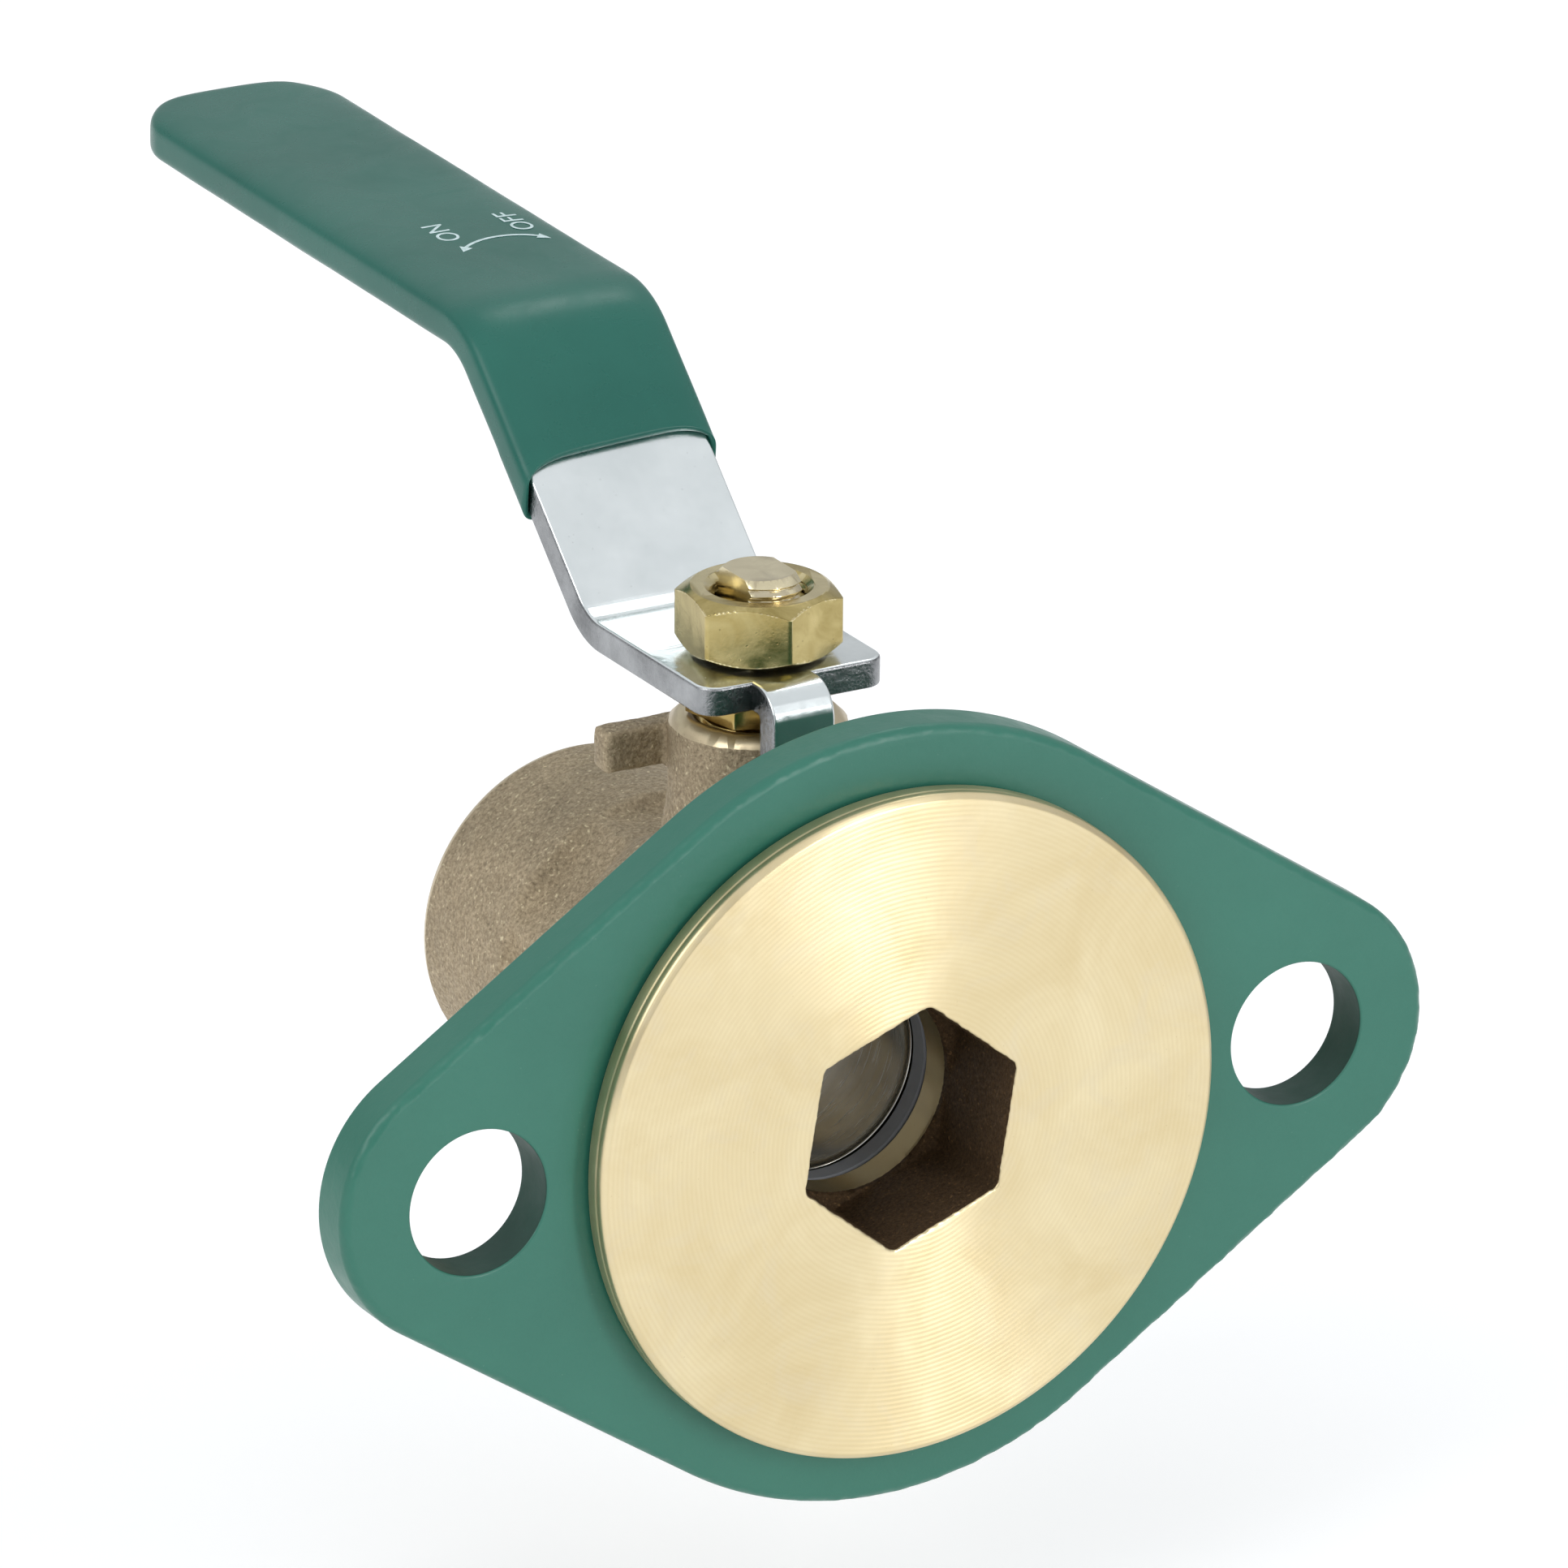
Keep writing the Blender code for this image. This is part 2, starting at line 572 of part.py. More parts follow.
def hex_head(name, across_flats, low, high, turn, both_ends):
    """A hexagon whose corners are chamfered at the top, or at both ends."""
    corner = across_flats / 2 / math.cos(math.pi / 6)
    flat = across_flats / 2
    drop = (corner - flat) * 0.75
    bottom = [(flat, low), (corner * 1.02, low + drop)] if both_ends else [(corner * 1.02, low)]
    section = [(0, low), *bottom, (corner * 1.02, high - drop), (flat, high), (0, high)]
    turned_blank = at_stem(turned(f"{name}_chamfer", section, 48))
    head = at_stem(prism(name, across_flats, 6, low - 1 * MM, high + 1 * MM, turn))
    return boolean(head, turned_blank, "INTERSECT")


def make_packing_nut():
    nut = hex_head(
        "packing_nut",
        PACKING_NUT_ACROSS_FLATS,
        PACKING_NUT_Z,
        PACKING_NUT_Z + PACKING_NUT_HEAD,
        math.radians(12),
        both_ends=False,
    )
    shank_radius = PACKING_BORE_RADIUS - CLEARANCE
    shank = at_stem(rod("packing_nut_shank", shank_radius, PACKING_NUT_SHANK_Z, PACKING_NUT_Z + 0.5 * MM))
    boolean(nut, shank, "UNION")
    bore_bottom, bore_top = PACKING_NUT_SHANK_Z - 1 * MM, LEVER_UNDERSIDE_Z + 1 * MM
    bore = at_stem(rod("packing_nut_bore", STEM_RADIUS + CLEARANCE, bore_bottom, bore_top))
    boolean(nut, bore)
    return part(nut, BRASS)


def make_lever_nut():
    low, high = LEVER_NUT_Z, LEVER_NUT_Z + NUT_HEIGHT
    nut = hex_head("lever_nut", NUT_ACROSS_FLATS, low, high, NUT_TURN, both_ends=True)
    bore_radius = STEM_RADIUS + CLEARANCE
    mouth = bore_radius + NUT_COUNTERSINK
    section = [
        (0, low - 1 * MM),
        (bore_radius, low - 1 * MM),
        (bore_radius, high - NUT_COUNTERSINK),
        (mouth, high),
        (mouth, high + 1 * MM),
        (0, high + 1 * MM),
    ]
    boolean(nut, at_stem(turned("lever_nut_bore", section, 48)))
    return part(nut, BRASS)


def bent_path(corners, radii, steps=6):
    """(point, heading) along a line of straight runs joined by bends of those radii."""
    corners = [Vector(c) for c in corners]
    first = corners[1] - corners[0]
    path = [(corners[0], math.atan2(first.y, first.x))]
    for before, corner, after, radius in zip(corners, corners[1:], corners[2:], radii):
        arriving, leaving = (corner - before).normalized(), (after - corner).normalized()
        turn = math.atan2(arriving.cross(leaving), arriving.dot(leaving))
        start = corner - arriving * radius * math.tan(abs(turn) / 2)
        side = math.copysign(1, turn)
        centre = start + side * radius * Vector((-arriving.y, arriving.x))
        heading = math.atan2(arriving.y, arriving.x)
        for i in range(steps + 1):
            angle = heading + turn * i / steps
            offset = Vector((math.sin(angle), -math.cos(angle))) * side * radius
            path.append((centre + offset, angle))
    last = corners[-1] - corners[-2]
    path.append((corners[-1], math.atan2(last.y, last.x)))
    return path


def strip_outline(path, half_thickness):
    above, below = [], []
    for point, heading in path:
        normal = Vector((-math.sin(heading), math.cos(heading))) * half_thickness
        above.append(tuple(point + normal))
        below.append(tuple(point - normal))
    return above + below[::-1]


def lever_corners():
    """The corners of the lever's middle line from the first bend to the tip, as (along, height)."""
    run = RISE / math.tan(RISER_ANGLE)
    second = (FIRST_BEND + run, LEVER_MIDDLE_Z + RISE)
    grip_length = LEVER_REACH - second[0]
    tip = (LEVER_REACH, second[1] + grip_length * math.tan(GRIP_TILT))
    return [(FIRST_BEND, LEVER_MIDDLE_Z), second, tip]


def grip_outline(start, margin):
    """The plan of the lever's far end from start, grown by a margin all round."""
    half, corner = LEVER_WIDTH / 2 + margin, LEVER_TIP_CORNER + margin
    end = LEVER_REACH + margin
    right = arc((half - corner, end - corner), corner, 0, math.pi / 2, 8)
    left = [(-x, y) for x, y in reversed(right)]
    return [(half, start), *right, *left, (-half, start)]


def lever_outline():
    half, corner = LEVER_WIDTH / 2, LEVER_FRONT_CORNER
    tab_left, tab_right = TAB_OFFSET - TAB_WIDTH / 2, TAB_OFFSET + TAB_WIDTH / 2
    front = -LEVER_FRONT
    left = arc((corner - half, front + corner), corner, math.pi, 1.5 * math.pi, 6)
    right = arc((half - corner, front + corner), corner, -0.5 * math.pi, 0, 6)
    tab_front = -TAB_REACH - 1 * MM
    tab = [(tab_left, front), (tab_left, tab_front), (tab_right, tab_front), (tab_right, front)]
    return left + tab + right + grip_outline(0, 0)[1:-1]


def make_lever():
    tab_middle = -TAB_REACH + LEVER_THICKNESS / 2
    corners = [(tab_middle, TAB_BOTTOM_Z), (tab_middle, LEVER_MIDDLE_Z), *lever_corners()]
    path = bent_path(corners, [TAB_BEND_RADIUS, FIRST_BEND_RADIUS, SECOND_BEND_RADIUS])
    outline = strip_outline(path, LEVER_THICKNESS / 2)
    lever = at_stem(plate("lever", [outline], LEVER_WIDTH + 2 * MM, SIDE_PLANE))
    trim = at_stem(plate("lever_plan", [lever_outline()], 4 * STEM_TOP_Z, PLAN_PLANE))
    boolean(lever, trim, "INTERSECT")
    half_flat = HALF_STEM_FLATS + CLEARANCE
    radius = STEM_RADIUS + CLEARANCE
    angle = math.acos(half_flat / radius)
    hole = arc((0, 0), radius, angle, math.pi - angle, 10) + arc(
        (0, 0), radius, math.pi + angle, 2 * math.pi - angle, 10
    )
    boolean(lever, at_stem(plate("lever_hole", [hole], 4 * STEM_TOP_Z, PLAN_PLANE)))
    return part(lever, ZINC)


def grip_solid(name, margin, start_along, beyond_tip):
    """The lever's riser and grip from a point on the riser, grown by a margin all round."""
    first, second, tip = (Vector(c) for c in lever_corners())
    start = first + (second - first).normalized() * start_along
    tip = tip + (tip - second).normalized() * beyond_tip
    path = bent_path([start, second, tip], [SECOND_BEND_RADIUS])
    outline = strip_outline(path, LEVER_THICKNESS / 2 + margin)
    solid = at_stem(plate(name, [outline], LEVER_WIDTH + 4 * margin, SIDE_PLANE))
    trim = plate(f"{name}_plan", [grip_outline(0, margin)], 4 * STEM_TOP_Z, PLAN_PLANE)
    return boolean(solid, at_stem(trim), "INTERSECT")


def make_grip():
    start = BARE_RISER / math.sin(RISER_ANGLE)
    margin = GRIP_CLEARANCE + GRIP_WALL
    grip = grip_solid("lever_grip", margin, start, 2 * margin)
    edges = grip.modifiers.new("soft edges", "BEVEL")
    edges.width = GRIP_EDGE
    edges.segments = 2
    edges.limit_method = "ANGLE"
    edges.angle_limit = math.radians(50)
    boolean(grip, grip_solid("grip_cavity", GRIP_CLEARANCE, start - 4 * MM, 2 * GRIP_CLEARANCE))
    return part(grip, GREEN_VINYL)


clear_scene()
VALVE = new_collection("pump_shutoff_flange")
CUTTERS = new_collection("cutters")
BRASS = material("brass", (0.78, 0.66, 0.38), 0.28, 1.0)
BRONZE = material("cast_bronze", (0.36, 0.29, 0.2), 0.55, 0.8)
GREEN_PAINT = material("green_paint", (0.07, 0.26, 0.18), 0.4, 0.0)
GREEN_VINYL = material("green_vinyl", (0.05, 0.2, 0.14), 0.45, 0.0)
ZINC = material("zinc_plated_steel", (0.66, 0.69, 0.7), 0.25, 1.0)
CHROME = material("plated_ball", (0.55, 0.54, 0.5), 0.15, 1.0)
SEAT_PLASTIC = material("seat_plastic", (0.34, 0.34, 0.36), 0.5, 0.0)

make_tailpiece()
make_swivel_flange()
make_body()
make_ball()
make_seat("seat_front", -1)
make_seat("seat_rear", 1)
make_body_seal()
make_stem()
make_packing()
make_packing_nut()
make_lever_nut()
make_lever()
make_grip()
for piece in VALVE.objects:
    piece.data.shade_smooth()
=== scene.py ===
"""The looks of the pump shut-off flange: detailed pieces, their finishes and a studio.

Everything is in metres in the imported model's frame: X along the bolt holes, +Y back along the
waterway from the disc's sealing face, and +Z up the stem.
"""

import json
import math

import bmesh
import bpy
import numpy as np
from mathutils import Matrix, Vector, noise

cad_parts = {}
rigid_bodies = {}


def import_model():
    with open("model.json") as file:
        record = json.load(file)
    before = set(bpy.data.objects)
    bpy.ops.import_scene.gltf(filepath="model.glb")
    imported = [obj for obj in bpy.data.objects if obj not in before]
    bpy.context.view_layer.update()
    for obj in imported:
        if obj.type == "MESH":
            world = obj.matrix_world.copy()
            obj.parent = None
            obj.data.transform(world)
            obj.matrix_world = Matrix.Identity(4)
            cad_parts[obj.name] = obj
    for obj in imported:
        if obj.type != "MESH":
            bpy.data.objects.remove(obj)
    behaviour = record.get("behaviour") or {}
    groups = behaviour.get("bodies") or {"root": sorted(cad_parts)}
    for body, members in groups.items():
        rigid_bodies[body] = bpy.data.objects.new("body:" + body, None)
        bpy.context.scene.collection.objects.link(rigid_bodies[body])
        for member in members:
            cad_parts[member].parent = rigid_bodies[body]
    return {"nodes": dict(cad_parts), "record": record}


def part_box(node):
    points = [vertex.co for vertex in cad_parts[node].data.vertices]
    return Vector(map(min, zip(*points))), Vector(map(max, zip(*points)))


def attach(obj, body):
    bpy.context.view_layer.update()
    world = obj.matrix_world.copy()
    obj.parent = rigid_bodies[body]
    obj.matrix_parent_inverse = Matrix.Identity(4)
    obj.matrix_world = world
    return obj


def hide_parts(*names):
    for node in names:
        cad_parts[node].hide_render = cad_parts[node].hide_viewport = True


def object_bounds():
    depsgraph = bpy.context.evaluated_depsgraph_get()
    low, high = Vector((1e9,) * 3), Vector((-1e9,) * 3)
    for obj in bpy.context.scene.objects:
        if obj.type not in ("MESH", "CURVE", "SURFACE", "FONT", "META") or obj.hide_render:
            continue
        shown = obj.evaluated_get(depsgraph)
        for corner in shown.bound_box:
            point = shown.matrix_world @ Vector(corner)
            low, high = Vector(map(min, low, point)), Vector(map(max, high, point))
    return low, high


MM = 0.001
for leftover in list(bpy.data.objects):
    bpy.data.objects.remove(leftover)
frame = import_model()
cad_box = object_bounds()
record = frame["record"]
BODIES = record["behaviour"]["bodies"]
BODY_OF = {node: body for body, nodes in BODIES.items() for node in nodes}

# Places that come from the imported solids
flange_low, flange_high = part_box("swivel_flange")
body_low, body_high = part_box("valve_body")
stem_low, stem_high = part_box("stem")
lever_low, lever_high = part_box("lever")
lever_nut_low, lever_nut_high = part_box("lever_nut")
packing_nut_low, packing_nut_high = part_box("packing_nut")

STEM_Y = (stem_low.y + stem_high.y) / 2
BALL_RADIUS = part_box("ball")[1].x
CLEARANCE = 0.3 * MM  # between pieces that meet
LEVER_THICKNESS = 2.6 * MM
LEVER_UNDERSIDE = packing_nut_high.z + CLEARANCE
LEVER_MIDDLE = LEVER_UNDERSIDE + LEVER_THICKNESS / 2
LEVER_HALF_WIDTH = lever_high.x
PORT_RADIUS = 9.5 * MM


# Mesh helpers


def rounded(corners, steps=6):
    """A closed outline through (u, v, radius) corners, each rounded over by its radius."""
    outline = []
    for i, (u, v, radius) in enumerate(corners):
        corner = Vector((u, v))
        if radius <= 0:
            outline.append((u, v))
            continue
        before = (Vector(corners[i - 1][:2]) - corner).normalized()
        after = (Vector(corners[(i + 1) % len(corners)][:2]) - corner).normalized()
        half = before.angle(after) / 2
        centre = corner + (before + after).normalized() * radius / math.sin(half)
        reach = radius / math.tan(half)
        start = corner + before * reach - centre
        end = corner + after * reach - centre
        first = math.atan2(start.y, start.x)
        sweep = math.remainder(math.atan2(end.y, end.x) - first, 2 * math.pi)
        for step in range(steps + 1):
            angle = first + sweep * step / steps
            across, up = radius * math.cos(angle), radius * math.sin(angle)
            outline.append((centre.x + across, centre.y + up))
    return outline


def new_object(name, mesh):
    item = bpy.data.objects.new(name, mesh)
    bpy.context.scene.collection.objects.link(item)
    return item


def edited(mesh):
    """A bmesh of the mesh."""
    build = bmesh.new()
    build.from_mesh(mesh)
    return build


def written(build, mesh):
    """Writes a bmesh into a mesh, or into a new one of that name."""
    if isinstance(mesh, str):
        mesh = bpy.data.meshes.new(mesh)
    build.to_mesh(mesh)
    build.free()
    return mesh


def face_outwards(mesh):
    """Turns every face's normal to the outside."""
    build = edited(mesh)
    bmesh.ops.recalc_face_normals(build, faces=build.faces)
    written(build, mesh)


def ring_object(name, rings, closed=True, caps=False):
    """A skin over rings, an array of (row, column, xyz). Columns wrap round, and rows too when
    closed."""
    rings = np.asarray(rings, float)
    rows, columns = rings.shape[:2]
    row = np.arange(rows if closed else rows - 1)[:, None]
    column = np.arange(columns)[None, :]
    below, beside = (row + 1) % rows, (column + 1) % columns
    corners = [
        row * columns + column,
        row * columns + beside,
        below * columns + beside,
        below * columns + column,
    ]
    faces = np.stack(np.broadcast_arrays(*corners), -1).reshape(-1, 4).tolist()
    if caps:
        faces += [list(range(columns)), list(range((rows - 1) * columns, rows * columns))]
    mesh = bpy.data.meshes.new(name)
    mesh.from_pydata(rings.reshape(-1, 3).tolist(), [], faces)
    face_outwards(mesh)
    return new_object(name, mesh)


def around(axis, radii, heights, angles):
    """Rings round the waterway or the stem. radii is (row, column) or (row, 1)."""
    radii = np.broadcast_to(np.asarray(radii, float), (len(heights), len(angles)))
    heights = np.broadcast_to(np.asarray(heights, float)[:, None], radii.shape)
    cosine, sine = radii * np.cos(angles), radii * np.sin(angles)
    if axis == "stem":
        return np.stack([cosine, sine + STEM_Y, heights], -1)
    return np.stack([sine, heights, cosine], -1)


def full_turn(steps):
    return np.arange(steps) * 2 * math.pi / steps


def mm(outline, start=0.0):
    """(radius, height) pairs from millimetres, with the heights taken from a start in metres."""
    return [(radius * MM, start + height * MM) for radius, height in outline]


def turned(name, outline, axis, steps=192, solid=False):
    """A turned piece from a closed outline of (radius, height)."""
    outline = np.array(outline, float)
    rings = around(axis, outline[:, :1], outline[:, 1], full_turn(steps))
    return ring_object(name, rings, closed=not solid, caps=solid)


def solid_turned(name, outline, axis, steps=192):
    """The same for a solid one, from an open outline whose two ends are capped."""
    return turned(name, outline, axis, steps, solid=True)


def box_object(name, low, high):
    low, high = Vector(low), Vector(high)
    build = bmesh.new()
    bmesh.ops.create_cube(build, size=1)
    place = Matrix.Translation((low + high) / 2) @ Matrix.Diagonal((*(high - low), 1))
    bmesh.ops.transform(build, matrix=place, verts=build.verts)
    return new_object(name, written(build, name))


def evaluated_mesh(item):
    graph = bpy.context.evaluated_depsgraph_get()
    return bpy.data.meshes.new_from_object(item.evaluated_get(graph))


def mesh_of_curve(name, curve):
    """The mesh that a curve or a text makes."""
    guide = new_object(name, curve)
    mesh = evaluated_mesh(guide)
    bpy.data.objects.remove(guide)
    return mesh


def apply_modifiers(item):
    mesh = evaluated_mesh(item)
    item.modifiers.clear()
    item.data = mesh
    return item


def combine(item, tool, operation="DIFFERENCE"):
    """Cuts or joins with a tool, which is used up."""
    change = item.modifiers.new("combine", "BOOLEAN")
    change.operation = operation
    change.solver = "MANIFOLD"
    change.object = tool
    change.material_mode = "TRANSFER"
    apply_modifiers(item)
    bpy.data.objects.remove(tool)
    return item


def soften(item, width, segments=2, degrees=30):
    """Rounds over the edges that turn by more than the angle."""
    bevel = item.modifiers.new("soften", "BEVEL")
    bevel.width = width
    bevel.segments = segments
    bevel.limit_method = "ANGLE"
    bevel.angle_limit = math.radians(degrees)
    bevel.use_clamp_overlap = True
    return apply_modifiers(item)


def smooth(item, degrees=32, weighted=True):
    item.data.shade_smooth()
    item.data.set_sharp_from_angle(angle=math.radians(degrees))
    if weighted:
        normals = item.modifiers.new("face normals", "WEIGHTED_NORMAL")
        normals.keep_sharp = True
        normals.weight = 60
        apply_modifiers(item)
    return item


def dense(outline, step):
    """The outline with extra points, so that none are further apart than the step."""
    points = [Vector(point) for point in outline]
    filled_in = []
    for here, there in zip(points, points[1:] + points[:1]):
        pieces = max(1, math.ceil((there - here).length / step))
        filled_in += [tuple(here.lerp(there, i / pieces)) for i in range(pieces)]
    return filled_in


def inset(outline, depth):
    """An anticlockwise outline moved in by a depth."""
    points = np.array(outline)
    edges = np.roll(points, -1, 0) - points
    edges /= np.linalg.norm(edges, axis=1)[:, None]
    inward = np.stack([-edges[:, 1], edges[:, 0]], 1)
    before = np.roll(inward, 1, 0)
    return points + depth * (inward + before) / (1 + (inward * before).sum(1))[:, None]


def filled(outlines, height):
    """A flat face in the XY plane, of the first outline with the others cut out."""
    curve = bpy.data.curves.new("fill", "CURVE")
    curve.dimensions = "2D"
    curve.fill_mode = "BOTH"
    for outline in outlines:
        spline = curve.splines.new("POLY")
        spline.points.add(len(outline) - 1)
        for point, (u, v) in zip(spline.points, outline):
            point.co = (u, v, 0, 1)
        spline.use_cyclic_u = True
    mesh = mesh_of_curve("fill", curve)
    mesh.transform(Matrix.Translation((0, 0, height)))
    return mesh


def plate(name, outline, holes, edge, hole_edge=((0, 0), (0, 1))):
    """A flat plate in the XY plane, whose edges run through (inset, height) levels from bottom to
    top. Outlines are drawn anticlockwise."""
    build = bmesh.new()
    loops = [(outline, edge)] + [(hole, [(-depth, z) for depth, z in hole_edge]) for hole in holes]
    for end in (0, -1):
        outlines = [inset(loop, levels[end][0]) for loop, levels in loops]
        build.from_mesh(filled(outlines, edge[end][1]))
    for loop, levels in loops:
        rows = [[build.verts.new((u, v, z)) for u, v in inset(loop, depth)] for depth, z in levels]
        for low, high in zip(rows, rows[1:]):
            for i in range(len(low)):
                build.faces.new((low[i - 1], low[i], high[i], high[i - 1]))
    bmesh.ops.remove_doubles(build, verts=build.verts, dist=2e-6)
    bmesh.ops.recalc_face_normals(build, faces=build.faces)
    return new_object(name, written(build, name))


def cut_across(build, axis, levels):
    """Adds edges where planes across X (axis 0) or Y (axis 1) meet the faces."""
    normal = Vector((0, 0, 0))
    normal[axis] = 1
    for level in levels:
        geometry = build.verts[:] + build.edges[:] + build.faces[:]
        place = normal * float(level)
        bmesh.ops.bisect_plane(build, geom=geometry, dist=1e-7, plane_co=place, plane_no=normal)


def rolled(low, high, low_edge, high_edge, steps=6):
    """(inset, height) levels of an edge that is rounded at its bottom and its top."""
    shares = [(1 - math.sin(a), 1 - math.cos(a)) for a in np.linspace(0, math.pi / 2, steps)]
    levels = [(low_edge * inward, low + low_edge * up) for inward, up in shares]
    return levels + [(high_edge * up, high - high_edge * inward) for inward, up in shares]


def circle(centre, radius, steps):
    angles = full_turn(steps)
    return [(centre[0] + radius * math.cos(a), centre[1] + radius * math.sin(a)) for a in angles]


def hex_radius(angles, across_flats, corner, turn):
    """The radius of a hexagon with rounded corners at each angle. A corner points along turn."""
    flat = across_flats / 2
    off = np.abs((angles - turn + math.pi / 6) % (math.pi / 3) - math.pi / 6)
    from_flat = math.pi / 6 - off
    straight = flat / np.cos(from_flat)
    reach = (flat - corner) / math.cos(math.pi / 6)
    arc = reach * np.cos(off) + np.sqrt(np.maximum(corner**2 - (reach * np.sin(off)) ** 2, 0))
    tangent = math.atan((flat - corner) * math.tan(math.pi / 6) / flat)
    return np.where(from_flat > tangent, arc, straight)


def jitter(point, size, seed):
    """Smooth noise of -1 to 1 whose features are about that size."""
    return noise.noise(Vector(point) / size + Vector((seed, seed * 1.7, -seed)))


def roughen(item, layers, keep=None):
    """Moves points along their normals by layers of (height, feature size, seed)."""
    vertices = item.data.vertices
    points, normals = np.empty(len(vertices) * 3), np.empty(len(vertices) * 3)
    vertices.foreach_get("co", points)
    vertices.foreach_get("normal", normals)
    points, normals = points.reshape(-1, 3), normals.reshape(-1, 3)
    for i, point in enumerate(points.tolist()):
        share = 1.0 if keep is None else keep(Vector(point))
        if share > 0:
            height = sum(h * jitter(point, size, seed) for h, size, seed in layers)
            points[i] += normals[i] * share * height
    vertices.foreach_set("co", points.ravel())
    item.data.update()
    return item


# Finishes


def add_node(tree, kind, inputs=(), output=0, **settings):
    """A node's output socket. inputs holds values, and sockets to link."""
    made = tree.nodes.new(kind)
    for name, value in settings.items():
        setattr(made, name, value)
    for key, value in dict(inputs).items():
        if isinstance(value, bpy.types.NodeSocket):
            tree.links.new(value, made.inputs[key])
        else:
            made.inputs[key].default_value = value
    return made.outputs[output]


class Finish:
    """The node tree of one material, with short calls for the nodes that the finishes share."""

    def __init__(self, name, roughness=0.4, metallic=0.0, fixed=()):
        self.material = bpy.data.materials.new(name)
        self.material.use_nodes = True
        self.tree = self.material.node_tree
        self.shader = self.tree.nodes["Principled BSDF"]
        values = {"Metallic": metallic, "Roughness": roughness, **dict(fixed)}
        for key, value in values.items():
            self.shader.inputs[key].default_value = value
        self.place = self.node("ShaderNodeTexCoord", output="Object")

    def node(self, kind, inputs=(), output=0, **settings):
        return add_node(self.tree, kind, inputs, output, **settings)

    def finished(self, **sockets):
        """The material, with its shader's sockets linked."""
        names = {"colour": "Base Color"}
        for key, value in sockets.items():
            self.tree.links.new(value, self.shader.inputs[names.get(key, key.title())])
        return self.material

    def noise(self, feature, detail=4.0, roughness=0.55, distortion=0.0, place=None):
        """Noise of 0 to 1 with features of about that size."""
        inputs = {"Vector": place or self.place, "Scale": 1 / feature, "Detail": detail}
        inputs |= {"Roughness": roughness, "Distortion": distortion}
        return self.node("ShaderNodeTexNoise", inputs, "Fac")

    def spots(self, feature):
        inputs = {"Vector": self.place, "Scale": 1 / feature}
        return self.node("ShaderNodeTexVoronoi", inputs, "Distance")

    def maths(self, operation, *values):
        return self.node("ShaderNodeMath", dict(enumerate(values)), operation=operation)

    def times(self, first, second):
        return self.maths("MULTIPLY", first, second)

    def plus(self, first, second):
        return self.maths("ADD", first, second)

    def span(self, value, low, high, to_low=0.0, to_high=1.0):
        """The value from low to high mapped to another range, and held at its ends."""
        inputs = {"Value": value, "From Min": low, "From Max": high}
        return self.node("ShaderNodeMapRange", inputs | {"To Min": to_low, "To Max": to_high})

    def blend(self, share, first, second, mode="MIX"):
        ends = {0: share}
        for key, colour in ((6, first), (7, second)):
            ends[key] = colour if isinstance(colour, bpy.types.NodeSocket) else (*colour, 1)
        return self.node("ShaderNodeMix", ends, 2, data_type="RGBA", blend_type=mode)

    def touch(self, colour, share, strength, tint):
        """The colour, drawn towards a tint where the share is high."""
        return self.blend(self.times(share, strength), colour, tint)

    def bump(self, height, depth, strength=1.0, normal=None):
        """Relief of that depth in metres, where height runs from 0 to 1."""
        inputs = {"Height": height, "Distance": depth, "Strength": strength}
        if normal is not None:
            inputs["Normal"] = normal
        return self.node("ShaderNodeBump", inputs, "Normal")

    def along_y(self, across):
        """Coordinates that keep a pattern along Y and scale it across."""
        return self.node("ShaderNodeMapping", {"Vector": self.place, "Scale": (across, 1, across)})

    def rings(self, axis, pitch, wander):
        """Lathe marks round the waterway or the stem, from 0 to 1."""
        x, y, z = self.node("ShaderNodeSeparateXYZ", {0: self.place}).node.outputs
        other = self.maths("SUBTRACT", y, STEM_Y) if axis == "stem" else z
        squares = self.plus(self.maths("POWER", x, 2.0), self.maths("POWER", other, 2.0))
        drift = self.times(self.noise(9 * MM, 2.0), wander)
        turns = self.times(self.plus(self.maths("SQRT", squares), drift), 2 * math.pi / pitch)
        return self.maths("MULTIPLY_ADD", self.maths("SINE", turns), 0.5, 0.5)

    def edges(self, low, high):
        """0 on flats and hollows to 1 on outer edges."""
        pointed = self.node("ShaderNodeNewGeometry", output="Pointiness")
        return self.span(pointed, low, high)


def turned_brass():
    """Bright lathe-turned brass with fine rings and faint tarnish."""
    gloss = {"Anisotropic": 0.75, "Anisotropic Rotation": 0.25}
    made = Finish("turned_brass", 0.3, 1.0, gloss)
    rings = made.rings("waterway", 0.44 * MM, 0.3 * MM)
    fine = made.rings("waterway", 0.15 * MM, 0.1 * MM)
    clouds = made.noise(11 * MM, 5.0, 0.6, 0.8)
    patches = made.span(made.noise(6.5 * MM, 6.0, 0.62, 1.5), 0.5, 0.72)
    specks = made.span(made.spots(1.3 * MM), 0.0, 0.07, 1.0, 0.0)
    mottle = made.span(clouds, 0.3, 0.7)
    colour = made.blend(mottle, (0.665, 0.545, 0.315), (0.765, 0.66, 0.425))
    colour = made.touch(colour, patches, 0.5, (0.69, 0.60, 0.42))
    colour = made.touch(colour, rings, 0.16, (0.60, 0.47, 0.25))
    colour = made.touch(colour, specks, 0.35, (0.40, 0.29, 0.14))
    rough = made.span(made.plus(made.times(rings, 0.3), clouds), 0.2, 1.1, 0.26, 0.4)
    relief = made.bump(rings, 0.011 * MM, 0.8)
    relief = made.bump(fine, 0.004 * MM, 0.5, relief)
    tangent = made.node("ShaderNodeTangent", direction_type="RADIAL", axis="Y")
    return made.finished(colour=colour, roughness=rough, normal=relief, tangent=tangent)


